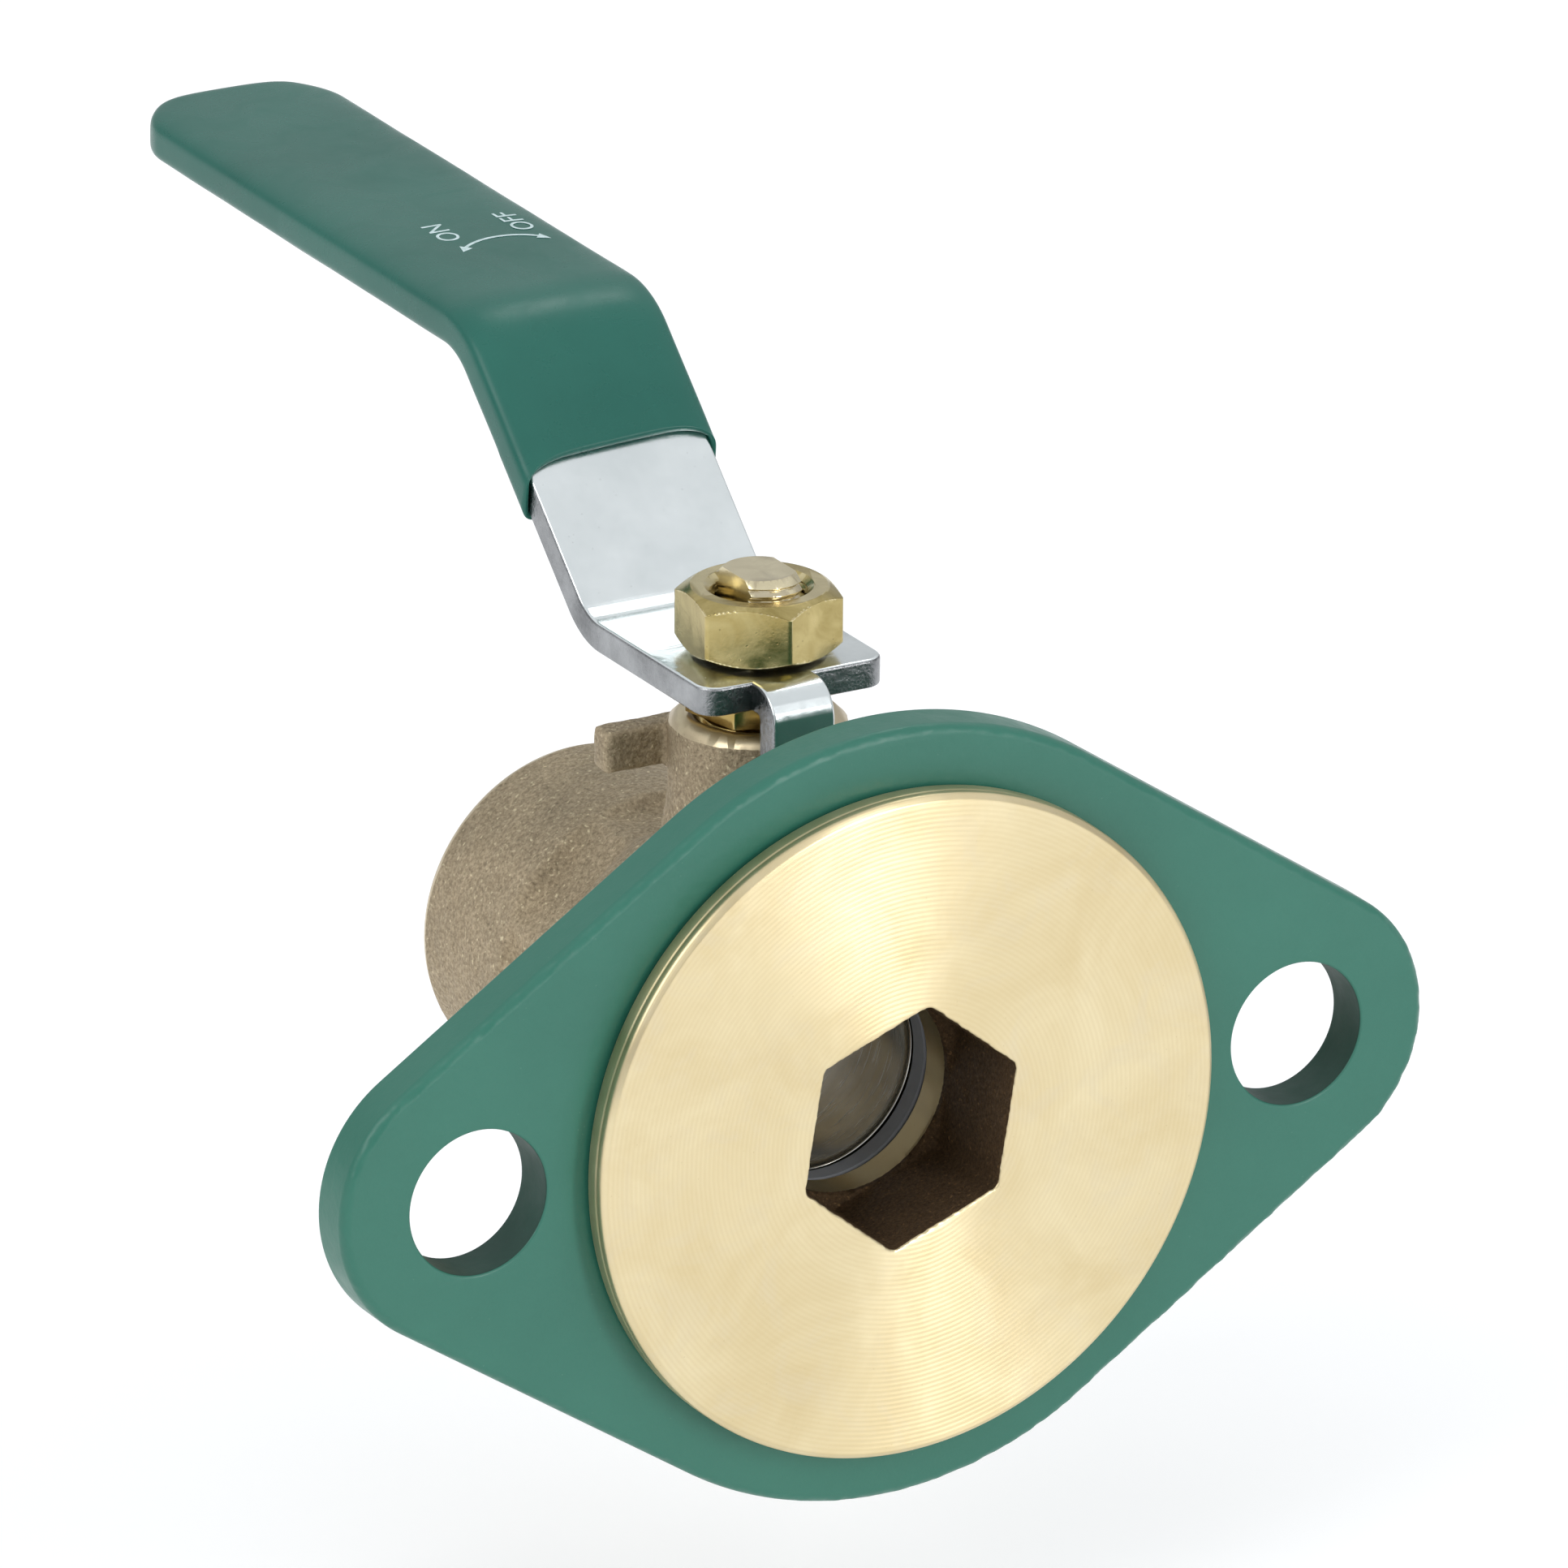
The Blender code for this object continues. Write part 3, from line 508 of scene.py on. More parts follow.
def cast(name, light, dark, grain, roughness, metallic, painted_glint_share=0.5):
    """A sand-cast skin: grains, pits, painted glints and painted highlight on worn edges."""
    made = Finish(name, roughness, metallic)
    sand = made.noise(grain, 6.0, 0.72)
    pits = made.span(made.spots(grain * 2.4), 0.0, 0.5)
    clouds = made.span(made.noise(grain * 22, 4.0, 0.6), 0.3, 0.7)
    # Painted glints: sparse bright spots that stand in for light sparkling on the grains.
    painted_glints = made.span(made.noise(grain * 1.1, 2.0, 0.4), 0.64, 0.74)
    colour = made.blend(made.span(sand, 0.32, 0.68), dark, light)
    shade = made.blend(clouds, (0.84, 0.83, 0.81), (1.1, 1.08, 1.06))
    colour = made.blend(1.0, colour, shade, "MULTIPLY")
    colour = made.touch(colour, painted_glints, painted_glint_share, [min(1, 1.9 * c) for c in light])
    # Lighter outer edges: partly rubbed wear, partly a painted highlight.
    colour = made.touch(colour, made.edges(0.52, 0.6), 0.45, [min(1, 1.4 * c) for c in light])
    rough = made.span(sand, 0.3, 0.75, roughness + 0.12, roughness - 0.1)
    relief = made.bump(sand, 0.2 * MM, 1.0)
    relief = made.bump(pits, 0.08 * MM, 0.7, relief)
    return made.finished(colour=colour, roughness=rough, normal=relief)


def machined_bronze():
    """Bores, threads and the bonnet's faced top."""
    made = Finish("machined_bronze", 0.3, 1.0)
    marks = made.noise(0.35 * MM, 4.0, 0.6, place=made.along_y(6.0))
    colour = made.blend(made.noise(6 * MM), (0.52, 0.42, 0.27), (0.66, 0.56, 0.38))
    rough = made.span(marks, 0.3, 0.7, 0.26, 0.42)
    return made.finished(colour=colour, roughness=rough, normal=made.bump(marks, 0.01 * MM, 0.6))


def nut_brass(name, deep, bright):
    """Drawn yellow brass with pits, faint tarnish and painted highlight on worn edges."""
    made = Finish(name, 0.2, 1.0)
    clouds = made.noise(3.5 * MM, 5.0, 0.6, 1.0)
    rings = made.rings("stem", 0.3 * MM, 0.12 * MM)
    pits = made.span(made.spots(0.75 * MM), 0.03, 0.13)
    colour = made.blend(made.span(clouds, 0.32, 0.68), deep, bright)
    colour = made.touch(colour, made.maths("SUBTRACT", 1.0, pits), 0.6, (0.22, 0.15, 0.06))
    # Lighter outer edges: partly rubbed wear, partly a painted highlight.
    colour = made.touch(colour, made.edges(0.53, 0.6), 0.4, (0.93, 0.83, 0.55))
    rough = made.span(clouds, 0.25, 0.75, 0.13, 0.3)
    relief = made.bump(pits, 0.02 * MM, 0.5)
    relief = made.bump(made.noise(0.5 * MM, 5.0), 0.012 * MM, 0.6, relief)
    relief = made.bump(rings, 0.003 * MM, 0.3, relief)
    return made.finished(colour=colour, roughness=rough, normal=relief)


def zinc(name, dark, light, grain_depth, roughness):
    """Bright zinc plate over rolled steel: a faint orange peel, clouds and small specks."""
    made = Finish(name, roughness, 1.0)
    peel = made.noise(0.5 * MM, 5.0, 0.6)
    clouds = made.noise(7 * MM, 4.0, 0.6)
    specks = made.span(made.spots(0.9 * MM), 0.0, 0.1, 1.0, 0.0)
    colour = made.blend(made.span(clouds, 0.3, 0.7), dark, light)
    colour = made.touch(colour, specks, 0.35, (0.25, 0.27, 0.28))
    rough = made.span(made.plus(peel, clouds), 0.6, 1.4, roughness - 0.05, roughness + 0.08)
    return made.finished(colour=colour, roughness=rough, normal=made.bump(peel, grain_depth, 0.6))


def green_paint(name, light, dark, roughness):
    """Semi-gloss enamel with orange peel and a little dust."""
    made = Finish(name, roughness, fixed={"Specular IOR Level": 0.45})
    clouds = made.noise(16 * MM, 4.0, 0.6)
    speckle = made.noise(0.3 * MM, 3.0)
    tone = made.plus(made.times(clouds, 0.8), made.times(speckle, 0.25))
    dust = made.span(made.spots(1.6 * MM), 0.0, 0.06, 1.0, 0.0)
    colour = made.blend(made.span(tone, 0.3, 0.75), dark, light)
    colour = made.touch(colour, dust, 0.2, (0.2, 0.36, 0.29))
    wander = made.noise(2.4 * MM, 4.0)
    rough = made.span(wander, 0.3, 0.7, roughness - 0.05, roughness + 0.07)
    relief = made.bump(made.noise(1.15 * MM, 3.0, 0.5), 0.06 * MM, 0.6)
    relief = made.bump(made.noise(0.28 * MM, 3.0, 0.5), 0.012 * MM, 0.6, relief)
    return made.finished(colour=colour, roughness=rough, normal=relief)


def green_vinyl():
    """Dipped vinyl: smooth, softly glossy and slightly wavy."""
    fixed = {
        "Subsurface Weight": 0.05,
        "Subsurface Radius": (0.0004, 0.0008, 0.0006),
        "Specular IOR Level": 0.3,
    }
    made = Finish("green_vinyl", 0.3, fixed=fixed)
    clouds = made.noise(14 * MM, 3.0, 0.5)
    tone = made.plus(clouds, made.times(made.noise(0.22 * MM, 2.0), 0.2))
    colour = made.blend(made.span(tone, 0.4, 0.8), (0.012, 0.102, 0.078), (0.018, 0.122, 0.094))
    smears = made.span(made.noise(5 * MM, 5.0, 0.6, 1.0), 0.35, 0.7, 0.24, 0.36)
    relief = made.bump(made.noise(6 * MM, 2.0, 0.4), 0.05 * MM, 0.5)
    relief = made.bump(made.noise(0.35 * MM, 3.0), 0.004 * MM, 0.5, relief)
    return made.finished(colour=colour, roughness=smears, normal=relief)


def print_ink():
    made = Finish("print_ink", 0.5)
    wear = made.span(made.noise(0.5 * MM, 5.0, 0.7), 0.35, 0.6)
    colour = made.blend(wear, (0.42, 0.56, 0.55), (0.62, 0.76, 0.78))
    return made.finished(colour=colour, normal=made.bump(wear, 0.01 * MM, 0.4))


def seat_plastic(name, light, dark):
    made = Finish(name, 0.4)
    colour = made.blend(made.noise(1.2 * MM, 5.0), dark, light)
    rough = made.span(made.noise(0.6 * MM, 4.0), 0.3, 0.7, 0.32, 0.5)
    relief = made.bump(made.rings("waterway", 0.22 * MM, 0.05 * MM), 0.005 * MM, 0.5)
    return made.finished(colour=colour, roughness=rough, normal=relief)


def ball_plate():
    """The ball's plating, with fine turning lines round its bore."""
    made = Finish("ball_plate", 0.2, 1.0)
    clouds = made.noise(5 * MM, 4.0, 0.6)
    lines = made.noise(0.22 * MM, 3.0, 0.6, place=made.along_y(0.06))
    colour = made.blend(made.span(clouds, 0.3, 0.7), (0.42, 0.41, 0.37), (0.60, 0.59, 0.54))
    rough = made.span(lines, 0.3, 0.7, 0.16, 0.3)
    relief = made.bump(lines, 0.006 * MM, 0.6)
    return made.finished(colour=colour, roughness=rough, normal=relief)


# The hexagon socket's walls: a dark cast skin, made darker still as painted shade deep in the
# socket, with more painted glints.
BORE = ((0.150, 0.090, 0.040), (0.050, 0.028, 0.012), 0.3 * MM, 0.55, 0.6, 0.8)
BRONZE = ((0.58, 0.475, 0.325), (0.23, 0.18, 0.115), 0.36 * MM, 0.5, 0.72)
SHEARED = ((0.16, 0.165, 0.17), (0.42, 0.43, 0.44), 0.14 * MM, 0.26)
PAINT = ((0.026, 0.150, 0.106), (0.020, 0.128, 0.090), 0.36)
FINISH = {
    "turned_brass": turned_brass(),
    "cast_bore_painted_shade": cast("cast_bore_painted_shade", *BORE),
    "cast_bronze": cast("cast_bronze", *BRONZE),
    "machined_bronze": machined_bronze(),
    "lever_nut_brass": nut_brass("lever_nut_brass", (0.35, 0.275, 0.10), (0.56, 0.46, 0.21)),
    "packing_nut_brass": nut_brass("packing_nut_brass", (0.40, 0.28, 0.09), (0.60, 0.45, 0.18)),
    "stem_brass": nut_brass("stem_brass", (0.48, 0.41, 0.27), (0.62, 0.55, 0.39)),
    "zinc": zinc("zinc", (0.70, 0.745, 0.75), (0.80, 0.84, 0.845), 0.014 * MM, 0.2),
    "sheared_zinc": zinc("sheared_zinc", *SHEARED),
    "green_paint": green_paint("green_paint", *PAINT),
    # The bolt holes' walls: the same green paint, made darker as painted shade inside the holes.
    "hole_painted_shade": green_paint("hole_painted_shade", (0.012, 0.060, 0.042), (0.008, 0.036, 0.026), 0.6),
    "green_vinyl": green_vinyl(),
    "print_ink": print_ink(),
    "seat_plastic": seat_plastic("seat_plastic", (0.33, 0.35, 0.38), (0.24, 0.255, 0.28)),
    "ball_plate": ball_plate(),
}


def wear(item, *finishes):
    item.data.materials.clear()
    for name in finishes:
        item.data.materials.append(FINISH[name])
    return item


def stands_for(item, node, *finishes):
    """The piece takes a node's place, on its body and with its slot."""
    if finishes:
        wear(item, *finishes)
    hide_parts(node)
    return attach(item, BODY_OF[node])


# The disc and its tailpiece

HEX_FLATS = 19.05 * MM
HEX_TURN = math.radians(9)
HEX_CORNER = 0.8 * MM


def make_tailpiece():
    angles = full_turn(360)
    hexagon = hex_radius(angles, HEX_FLATS, HEX_CORNER, HEX_TURN)
    ragged = np.array([jitter((math.sin(a), math.cos(a), 0.3), 0.08, 3.0) for a in angles])
    finer = np.array([jitter((math.sin(a), math.cos(a), 0.7), 0.03, 5.0) for a in angles])
    burr = (0.07 * ragged + 0.05 * finer) * MM
    rows, heights = [], []

    def row(radius, height):
        rows.append(np.broadcast_to(radius, angles.shape))
        heights.append(height * MM)

    # The face, from the hexagon's mouth out to the rim
    row(hexagon + burr + 0.02 * MM, 0.28)
    row(hexagon + burr + 0.05 * MM, 0.14)
    row(hexagon + burr + 0.14 * MM, 0.03)
    row(hexagon + burr + 0.28 * MM, 0)
    for share in (0.25, 0.6, 1.0):
        row(hexagon * (1 - share) + 12.4 * MM * share, 0)
    for radius in (15, 18, 21, 24, 27, 29.2):
        row(radius * MM, 0)
    # The rim: a turned chamfer, a fine groove and the back edge
    for radius, height in (
        (29.40, 0), (29.52, 0.04), (29.86, 0.36), (29.94, 0.46), (29.97, 0.60), (29.97, 1.05),
        (29.93, 1.12), (29.93, 1.22), (29.98, 1.30), (30.0, 1.42), (30.0, 2.38), (29.92, 2.62),
        (29.72, 2.78), (29.4, 2.8), (24, 2.8), (18.2, 2.8), (17.7, 2.86), (17.5, 3.1),
        (17.5, 8.05), (17.25, 8.3), (15.9, 8.3), (15.5, 8.55),
    ):
        row(radius * MM, height)
    # The tail's thread, then its end and the seat's pocket
    for turn in range(5):
        low = 9.2 + turn * 1.4
        for radius, height in ((15.5, 0), (14.75, 0.5), (14.75, 0.7), (15.5, 1.2)):
            row(radius * MM, low + height)
    for radius, height in (
        (15.2, 16.5), (12.7, 16.5), (12.5, 16.3), (12.5, 12.5), (10.35, 12.5), (10.35, 13.95),
        (9.65, 14.1), (9.5, 13.95), (9.5, 13.0), (9.5, 12.1), (9.5, 11.3),
    ):
        row(radius * MM, height)
    row(9.5 * MM + 0.1 * MM * np.abs(finer), 10.95)
    # The broach's rough end and the cast walls of the hexagon
    end = np.maximum(hexagon - 0.35 * MM, 9.52 * MM)
    row(np.minimum(end, 9.75 * MM) + 0.5 * burr, 10.62)
    row(end + burr, 10.45)
    row(np.maximum(hexagon - 0.1 * MM, 9.53 * MM), 10.3)
    for height in np.linspace(10.0, 0.6, 20):
        row(hexagon, height)
    skin = ring_object("disc_tailpiece_turned", around("waterway", rows, heights, angles))
    wear(skin, "turned_brass", "cast_bore_painted_shade")

    def in_bore(point):
        reach = math.hypot(point.x, point.z)
        return float(reach < 11.4 * MM and 0.5 * MM < point.y < 10.7 * MM)

    roughen(skin, [(0.05 * MM, 0.9 * MM, 1.0), (0.06 * MM, 0.35 * MM, 2.0)], in_bore)
    # Faces inside the hexagon take the darker cast finish, painted shade of the deep socket.
    for face in skin.data.polygons:
        reach = math.hypot(face.center.x, face.center.z)
        face.material_index = int(reach < 11.5 * MM and 0.1 * MM < face.center.y < 10.9 * MM)
    smooth(skin, 40, weighted=False)
    return stands_for(skin, "disc_tailpiece")


# The swivel flange

FLANGE_EDGE = 0.9 * MM
FLANGE_BACK_EDGE = 0.35 * MM
BOLT_RADIUS = 6.5 * MM
FLANGE_END_RADIUS = 12.9 * MM
FLANGE_BORE_RADIUS = 17.8 * MM


def make_flange():
    centre_radius = flange_high.z
    reach = flange_high.x - FLANGE_END_RADIUS
    thickness = flange_high.y - flange_low.y
    tangent = math.acos((centre_radius - FLANGE_END_RADIUS) / reach)

    def arc(middle, radius, start, end, steps):
        angles = np.linspace(start, end, steps)
        return [(middle + radius * math.cos(a), radius * math.sin(a)) for a in angles]

    right = arc(reach, FLANGE_END_RADIUS, -tangent, tangent, 48)
    top = arc(0, centre_radius, tangent, math.pi - tangent, 56)
    outline = dense(right + top + [(-x, -z) for x, z in right + top], 0.4 * MM)
    holes = [circle((x, 0), BOLT_RADIUS, 96) for x in (-reach, reach)]
    half = thickness / 2
    edge = rolled(-half, half, FLANGE_BACK_EDGE, FLANGE_EDGE, 9)
    hole_edge = rolled(-half, half, 0.2 * MM, 0.25 * MM, 4)
    holes = [circle((0, 0), FLANGE_BORE_RADIUS, 128), *holes]
    skin = plate("swivel_flange_painted", outline, holes, edge, hole_edge)
    # The drawn plate faces +Z. Its front goes to -Y.
    middle = (flange_low.y + flange_high.y) / 2
    skin.data.transform(Matrix(((1, 0, 0, 0), (0, 0, -1, middle), (0, 1, 0, 0), (0, 0, 0, 1))))
    wear(skin, "green_paint", "hole_painted_shade")
    front_edge = flange_low.y + FLANGE_EDGE

    def on_edge(point):
        from_rim = max(0.0, point.y - flange_low.y) / FLANGE_EDGE
        near_hole = math.hypot(abs(point.x) - reach, point.z) < BOLT_RADIUS + MM
        near_bore = math.hypot(point.x, point.z) < 18.5 * MM
        flat_face = point.y < flange_low.y + 0.01 * MM
        if point.y > front_edge or near_hole or near_bore or flat_face:
            return 0.0
        return min(1.0, 5 * from_rim) * max(0.0, 1 - 1.25 * from_rim)

    roughen(skin, [(0.13 * MM, 1.1 * MM, 8.0), (0.09 * MM, 0.55 * MM, 9.0)], on_edge)
    # Faces on the bolt holes' walls take the darker paint, painted shade of the holes.
    for face in skin.data.polygons:
        offset = Vector((abs(face.center.x) - reach, face.center.z))
        in_hole = offset.length < BOLT_RADIUS + 0.02 * MM
        face.material_index = int(in_hole and abs(face.normal.y) < 0.5)
    smooth(skin, 50)
    return stands_for(skin, "swivel_flange")


# The cast body

BODY_VOXEL = 0.36 * MM
CHAMBER_RADIUS = 17.5 * MM
OCTAGON_FLATS = 28.6 * MM
COLLAR_RADIUS = 15.5 * MM
LUG_TOP = body_high.z - 1.7 * MM
LUG_BOTTOM = LUG_TOP - 3.8 * MM
LUG_THICKNESS = 2.8 * MM
TAB_LEFT, TAB_RIGHT = -4.4 * MM, 1.6 * MM


def octagon_radius(angles):
    off = (angles + math.pi / 8) % (math.pi / 4) - math.pi / 8
    return OCTAGON_FLATS / 2 / np.cos(off)


def make_body():
    front, back, top = body_low.y, body_high.y, body_high.z
    angles = full_turn(128)
    octagon = octagon_radius(angles)
    chamber = np.full_like(angles, CHAMBER_RADIUS)
    collar = np.full_like(angles, COLLAR_RADIUS)
    rows = [
        (np.full_like(angles, 20 * MM), front - 0.8 * MM),
        (np.full_like(angles, 20 * MM), front + 3.2 * MM),
        (chamber, front + 5.2 * MM),
        (chamber, back - 25.8 * MM),
        (0.45 * chamber + 0.55 * octagon, back - 23.2 * MM),
        (octagon, back - 21.2 * MM),
        (octagon, back - 15.4 * MM),
        (collar, back - 14.8 * MM),
        (collar, back + 1.0 * MM),
    ]
    rings = around("waterway", *zip(*rows), angles)
    core = ring_object("core", rings, closed=False, caps=True)
    boss = mm([(9.6, 12), (8.4, 17.6), (7.9, 20.5), (7.7, 22.5)]) + mm([(7.7, 1.2)], top)
    combine(core, solid_turned("boss", boss, "stem", 96), "UNION")
    # The stops' lugs, which the lever's tab meets when it is closed and when it is open
    face = STEM_Y - TAB_LEFT + CLEARANCE
    low, high = (-12.2 * MM, face, LUG_BOTTOM), (-1 * MM, face + LUG_THICKNESS, LUG_TOP)
    combine(core, box_object("closed_stop", low, high), "UNION")
    face = TAB_RIGHT + CLEARANCE
    low = (face, STEM_Y - 12.2 * MM, LUG_BOTTOM)
    high = (face + LUG_THICKNESS, STEM_Y - 1 * MM, LUG_TOP)
    combine(core, box_object("open_stop", low, high), "UNION")
    remesh = core.modifiers.new("casting", "REMESH")
    remesh.mode = "VOXEL"
    remesh.voxel_size = BODY_VOXEL
    relax = core.modifiers.new("fillets", "SMOOTH")
    relax.factor = 0.5
    relax.iterations = 6
    apply_modifiers(core)
    roughen(core, [(0.10 * MM, 2.6 * MM, 1.0), (0.07 * MM, 0.8 * MM, 2.0)])
    wear(core, "cast_bronze", "machined_bronze")
    machine_body(core, front, back, top)
    smooth(core, 50, weighted=False)
    return stands_for(core, "valve_body")


def machine_body(casting, front, back, top):
    """Faces the casting's ends and bonnet, and bores and threads it."""
    # The back face has a rounded edge, and the bonnet's top a chamfer
    back_face = [(14.2, 0), (8, 0), (8, 4), (18, 4), (18, -1.7), (15.55, -1.7), (15.25, -0.85)]
    back_face.append((14.8, -0.3))
    bonnet_face = [(6.75, 0), (2, 0), (2, 4), (10, 4), (10, -1.1), (7.9, -1.1)]
    bore = [(15.8, front / MM - 2), (15.8, 17.7), (14.6, 17.7), (14.6, 36.9), (12.5, 36.9)]
    bore += [(12.5, 41.5), (9.8, 41.5), (9.5, 41.8), (9.5, 45.0), (9.5, 45.2)]
    packing = [(5.9, 12), (5.9, 18.6), (4.3, 18.6), (4.3, 20.5), (5.6, 20.5)]
    packing += [(5.6, top / MM - 0.3), (6.0, top / MM + 0.1), (6.0, top / MM + 4)]
    tools = [
        solid_turned("front_facing", mm([(26, -4), (26, 0)], front), "waterway", 128),
        turned("back_facing", mm(back_face, back), "waterway", 128),
        turned("bonnet_facing", mm(bonnet_face, top), "stem", 96),
        solid_turned("bore", mm(bore), "waterway", 144),
        pipe_thread(back),
        solid_turned("packing_bore", mm(packing), "stem", 96),
    ]
    for tool in tools:
        wear(tool, "machined_bronze")
        combine(casting, tool)


def pipe_thread(back):
    """The tapered thread's cutter: a helical groove of 14 threads to the inch, which closes
    towards the inside."""
    pitch, depth, floor = 25.4 / 14 * MM, 0.9 * MM, 45.0 * MM
    angles = full_turn(144)
    heights = np.linspace(floor, back + 3 * MM, 150)
    position = heights[:, None] / pitch + angles[None, :] / (2 * math.pi)
    wave = 1 - np.abs(2 * (position % 1) - 1)
    groove = np.clip(wave * 1.5 - 0.2, 0, 1)
    inside = np.clip((heights[:, None] - floor - 1.5 * MM) / (2 * MM), 0, 1)
    taper = (heights[:, None] - floor) / 32
    mouth = np.clip((heights[:, None] - back + 1.0 * MM) / (1.0 * MM), 0, 1)
    radii = 12.0 * MM + taper + groove * depth * inside
    radii = np.maximum(radii, 13.2 * MM * mouth)
    rings = around("waterway", radii, heights, angles)
    return ring_object("pipe_thread", rings, closed=False, caps=True)


# The ball and its seats


def make_ball():
    bore_edge = 0.16 * MM
    half = math.sqrt(BALL_RADIUS**2 - (PORT_RADIUS + bore_edge) ** 2)
    start = math.asin(half / BALL_RADIUS)
    angles = np.linspace(-start, start, 72)
    outline = [(BALL_RADIUS * math.cos(a), BALL_RADIUS * math.sin(a)) for a in angles]
    lip = half - 0.06 * MM
    bore = [(PORT_RADIUS + 0.06 * MM, lip), (PORT_RADIUS, lip - 0.12 * MM)]
    inner = np.linspace(lip - 1 * MM, 1 * MM - lip, 16)
    outline += bore + [(PORT_RADIUS, y) for y in inner] + [(r, -y) for r, y in reversed(bore)]
    outline = [(r, y + STEM_Y) for r, y in outline]
    ball = turned("ball_plated", outline, "waterway")
    slot = box_object(
        "slot",
        (-BALL_RADIUS, STEM_Y - 2.6 * MM, BALL_RADIUS - 3.2 * MM),
        (BALL_RADIUS, STEM_Y + 2.6 * MM, BALL_RADIUS + 2 * MM),
    )
    combine(ball, slot)
    smooth(ball, 35, weighted=False)
    return stands_for(ball, "ball", "ball_plate")


def make_seat(node):
    low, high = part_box(node)
    forward = 1 if low.y > STEM_Y else -1
    inner_face, face = sorted((abs(low.y - STEM_Y), abs(high.y - STEM_Y)))
    outer, bore = high.x, PORT_RADIUS + 0.1 * MM
    reach = BALL_RADIUS + CLEARANCE
    lip = math.acos(math.sqrt(reach**2 - bore**2) / reach)
    contact = math.acos(inner_face / reach)
    dish = [(reach * math.sin(a), reach * math.cos(a)) for a in np.linspace(lip, contact, 10)]
    lipped = PORT_RADIUS + 1.15 * MM if forward < 0 else bore
    outline = [
        (lipped, face - 1.7 * MM), (PORT_RADIUS + 0.25 * MM, face - 1.7 * MM),
        (bore, face - 1.85 * MM), *dish, (outer - 0.2 * MM, inner_face),
        (outer, inner_face + 0.2 * MM), (outer, face - 0.3 * MM), (outer - 0.3 * MM, face),
        (lipped + 0.2 * MM, face), (lipped, face - 0.2 * MM),
    ]
    outline = [(r, STEM_Y + forward * y) for r, y in outline]
    seat = turned(f"{node}_moulded", outline, "waterway", 160)
    smooth(seat, 35, weighted=False)
    return stands_for(seat, node, "seat_plastic")


# The stem and the nuts


THREAD_PITCH = 0.9 * MM
THREAD_STEPS, ROWS_PER_TURN = 96, 12


def threaded(name, core, depth, low, high, pitch):
    """A solid with a thread cut into it, along the stem's axis. A negative depth cuts a nut's
    thread."""
    angles = full_turn(THREAD_STEPS)
    rows = max(4, int((high - low) / pitch * ROWS_PER_TURN))
    heights = np.linspace(low, high, rows)
    position = heights[:, None] / pitch + angles[None, :] / (2 * math.pi)
    wave = 1 - np.abs(2 * (position % 1) - 1)
    radii = core - depth * np.clip(wave * 1.4 - 0.2, 0, 1)
    rings = around("stem", radii, heights, angles)
    return ring_object(name, rings, closed=False, caps=True)


def make_stem():
    radius, top = 4.0 * MM, stem_high.z
    shoulder = [(5.4, 15.1), (5.6, 15.3), (5.6, 16.8), (5.4, 17.0), (4.1, 17.0), (4.0, 17.1)]
    stem = solid_turned("stem_turned", mm([*shoulder, (4.0, 33.0)]), "stem", 96)
    start, end = 32.5 * MM, top + 0.5 * MM
    thread = threaded("stem_thread", radius - 0.02 * MM, 0.42 * MM, start, end, THREAD_PITCH)
    combine(stem, thread, "UNION")
    chamfer = mm([(3.15, 0), (1, 0), (1, 3), (6, 3), (6, -0.95), (4.05, -0.95)], top)
    combine(stem, turned("chamfer", chamfer, "stem", 96))
    combine(stem, solid_turned("lid", mm([(1.5, 0), (1.5, 2)], top), "stem", 48))
    low, high = (-5 * MM, STEM_Y - 2.3 * MM, stem_low.z), (5 * MM, STEM_Y + 2.3 * MM, 16 * MM)
    combine(stem, box_object("tang", low, high), "UNION")
    for side in (-1, 1):
        near, far = sorted((side * 2.5 * MM, side * 7 * MM))
        low = (near, STEM_Y - 7 * MM, LEVER_UNDERSIDE - 0.3 * MM)
        combine(stem, box_object("flat", low, (far, STEM_Y + 7 * MM, top + 2 * MM)))
    merge = stem.modifiers.new("merge flat faces", "DECIMATE")
    merge.decimate_type = "DISSOLVE"
    merge.angle_limit = math.radians(0.6)
    apply_modifiers(stem)
    soften(stem, 0.07 * MM, 2, 38)
    smooth(stem, 35)
    return stands_for(stem, "stem", "stem_brass")


def hex_nut(name, low, high, across_flats, turn, both_ends, steepness):
    """A hexagon with rounded corners, turned down at its top corners, or at both ends."""
    corner = across_flats / 2 / math.cos(math.pi / 6)
    angles = full_turn(360)
    hexagon = hex_radius(angles, across_flats, 0.35 * MM, turn)
    flat = across_flats / 2 * 0.93
    top_levels = [high - t * (corner - flat) * steepness for t in np.linspace(1.15, 0, 14)]
    low_levels = [low + t * (corner - flat) * steepness for t in np.linspace(0, 1.15, 14)]
    heights = (low_levels if both_ends else [low]) + top_levels
    rows = []
    for height in heights:
        cone = flat + (high - height) / steepness
        if both_ends:
            cone = min(cone, flat + (height - low) / steepness)
        rows.append(np.minimum(hexagon, cone))
    rings = around("stem", rows, heights, angles)
    return ring_object(name, rings, closed=False, caps=True)


def make_lever_nut():
    low, high = lever_nut_low.z, lever_nut_high.z
    nut = hex_nut("lever_nut_brass_hex", low, high, 12.7 * MM, math.radians(262.6), True, 0.62)
    start, end = low - 0.5 * MM, high + 0.5 * MM
    combine(nut, threaded("nut_thread", 3.95 * MM, -0.28 * MM, start, end, THREAD_PITCH))
    mouth = mm([(4.0, -0.75), (4.75, 0.02), (4.75, 1)], high)
    combine(nut, solid_turned("mouth", mouth, "stem", 96))
    soften(nut, 0.09 * MM, 2, 25)
    smooth(nut, 30)
    return stands_for(nut, "lever_nut", "lever_nut_brass")


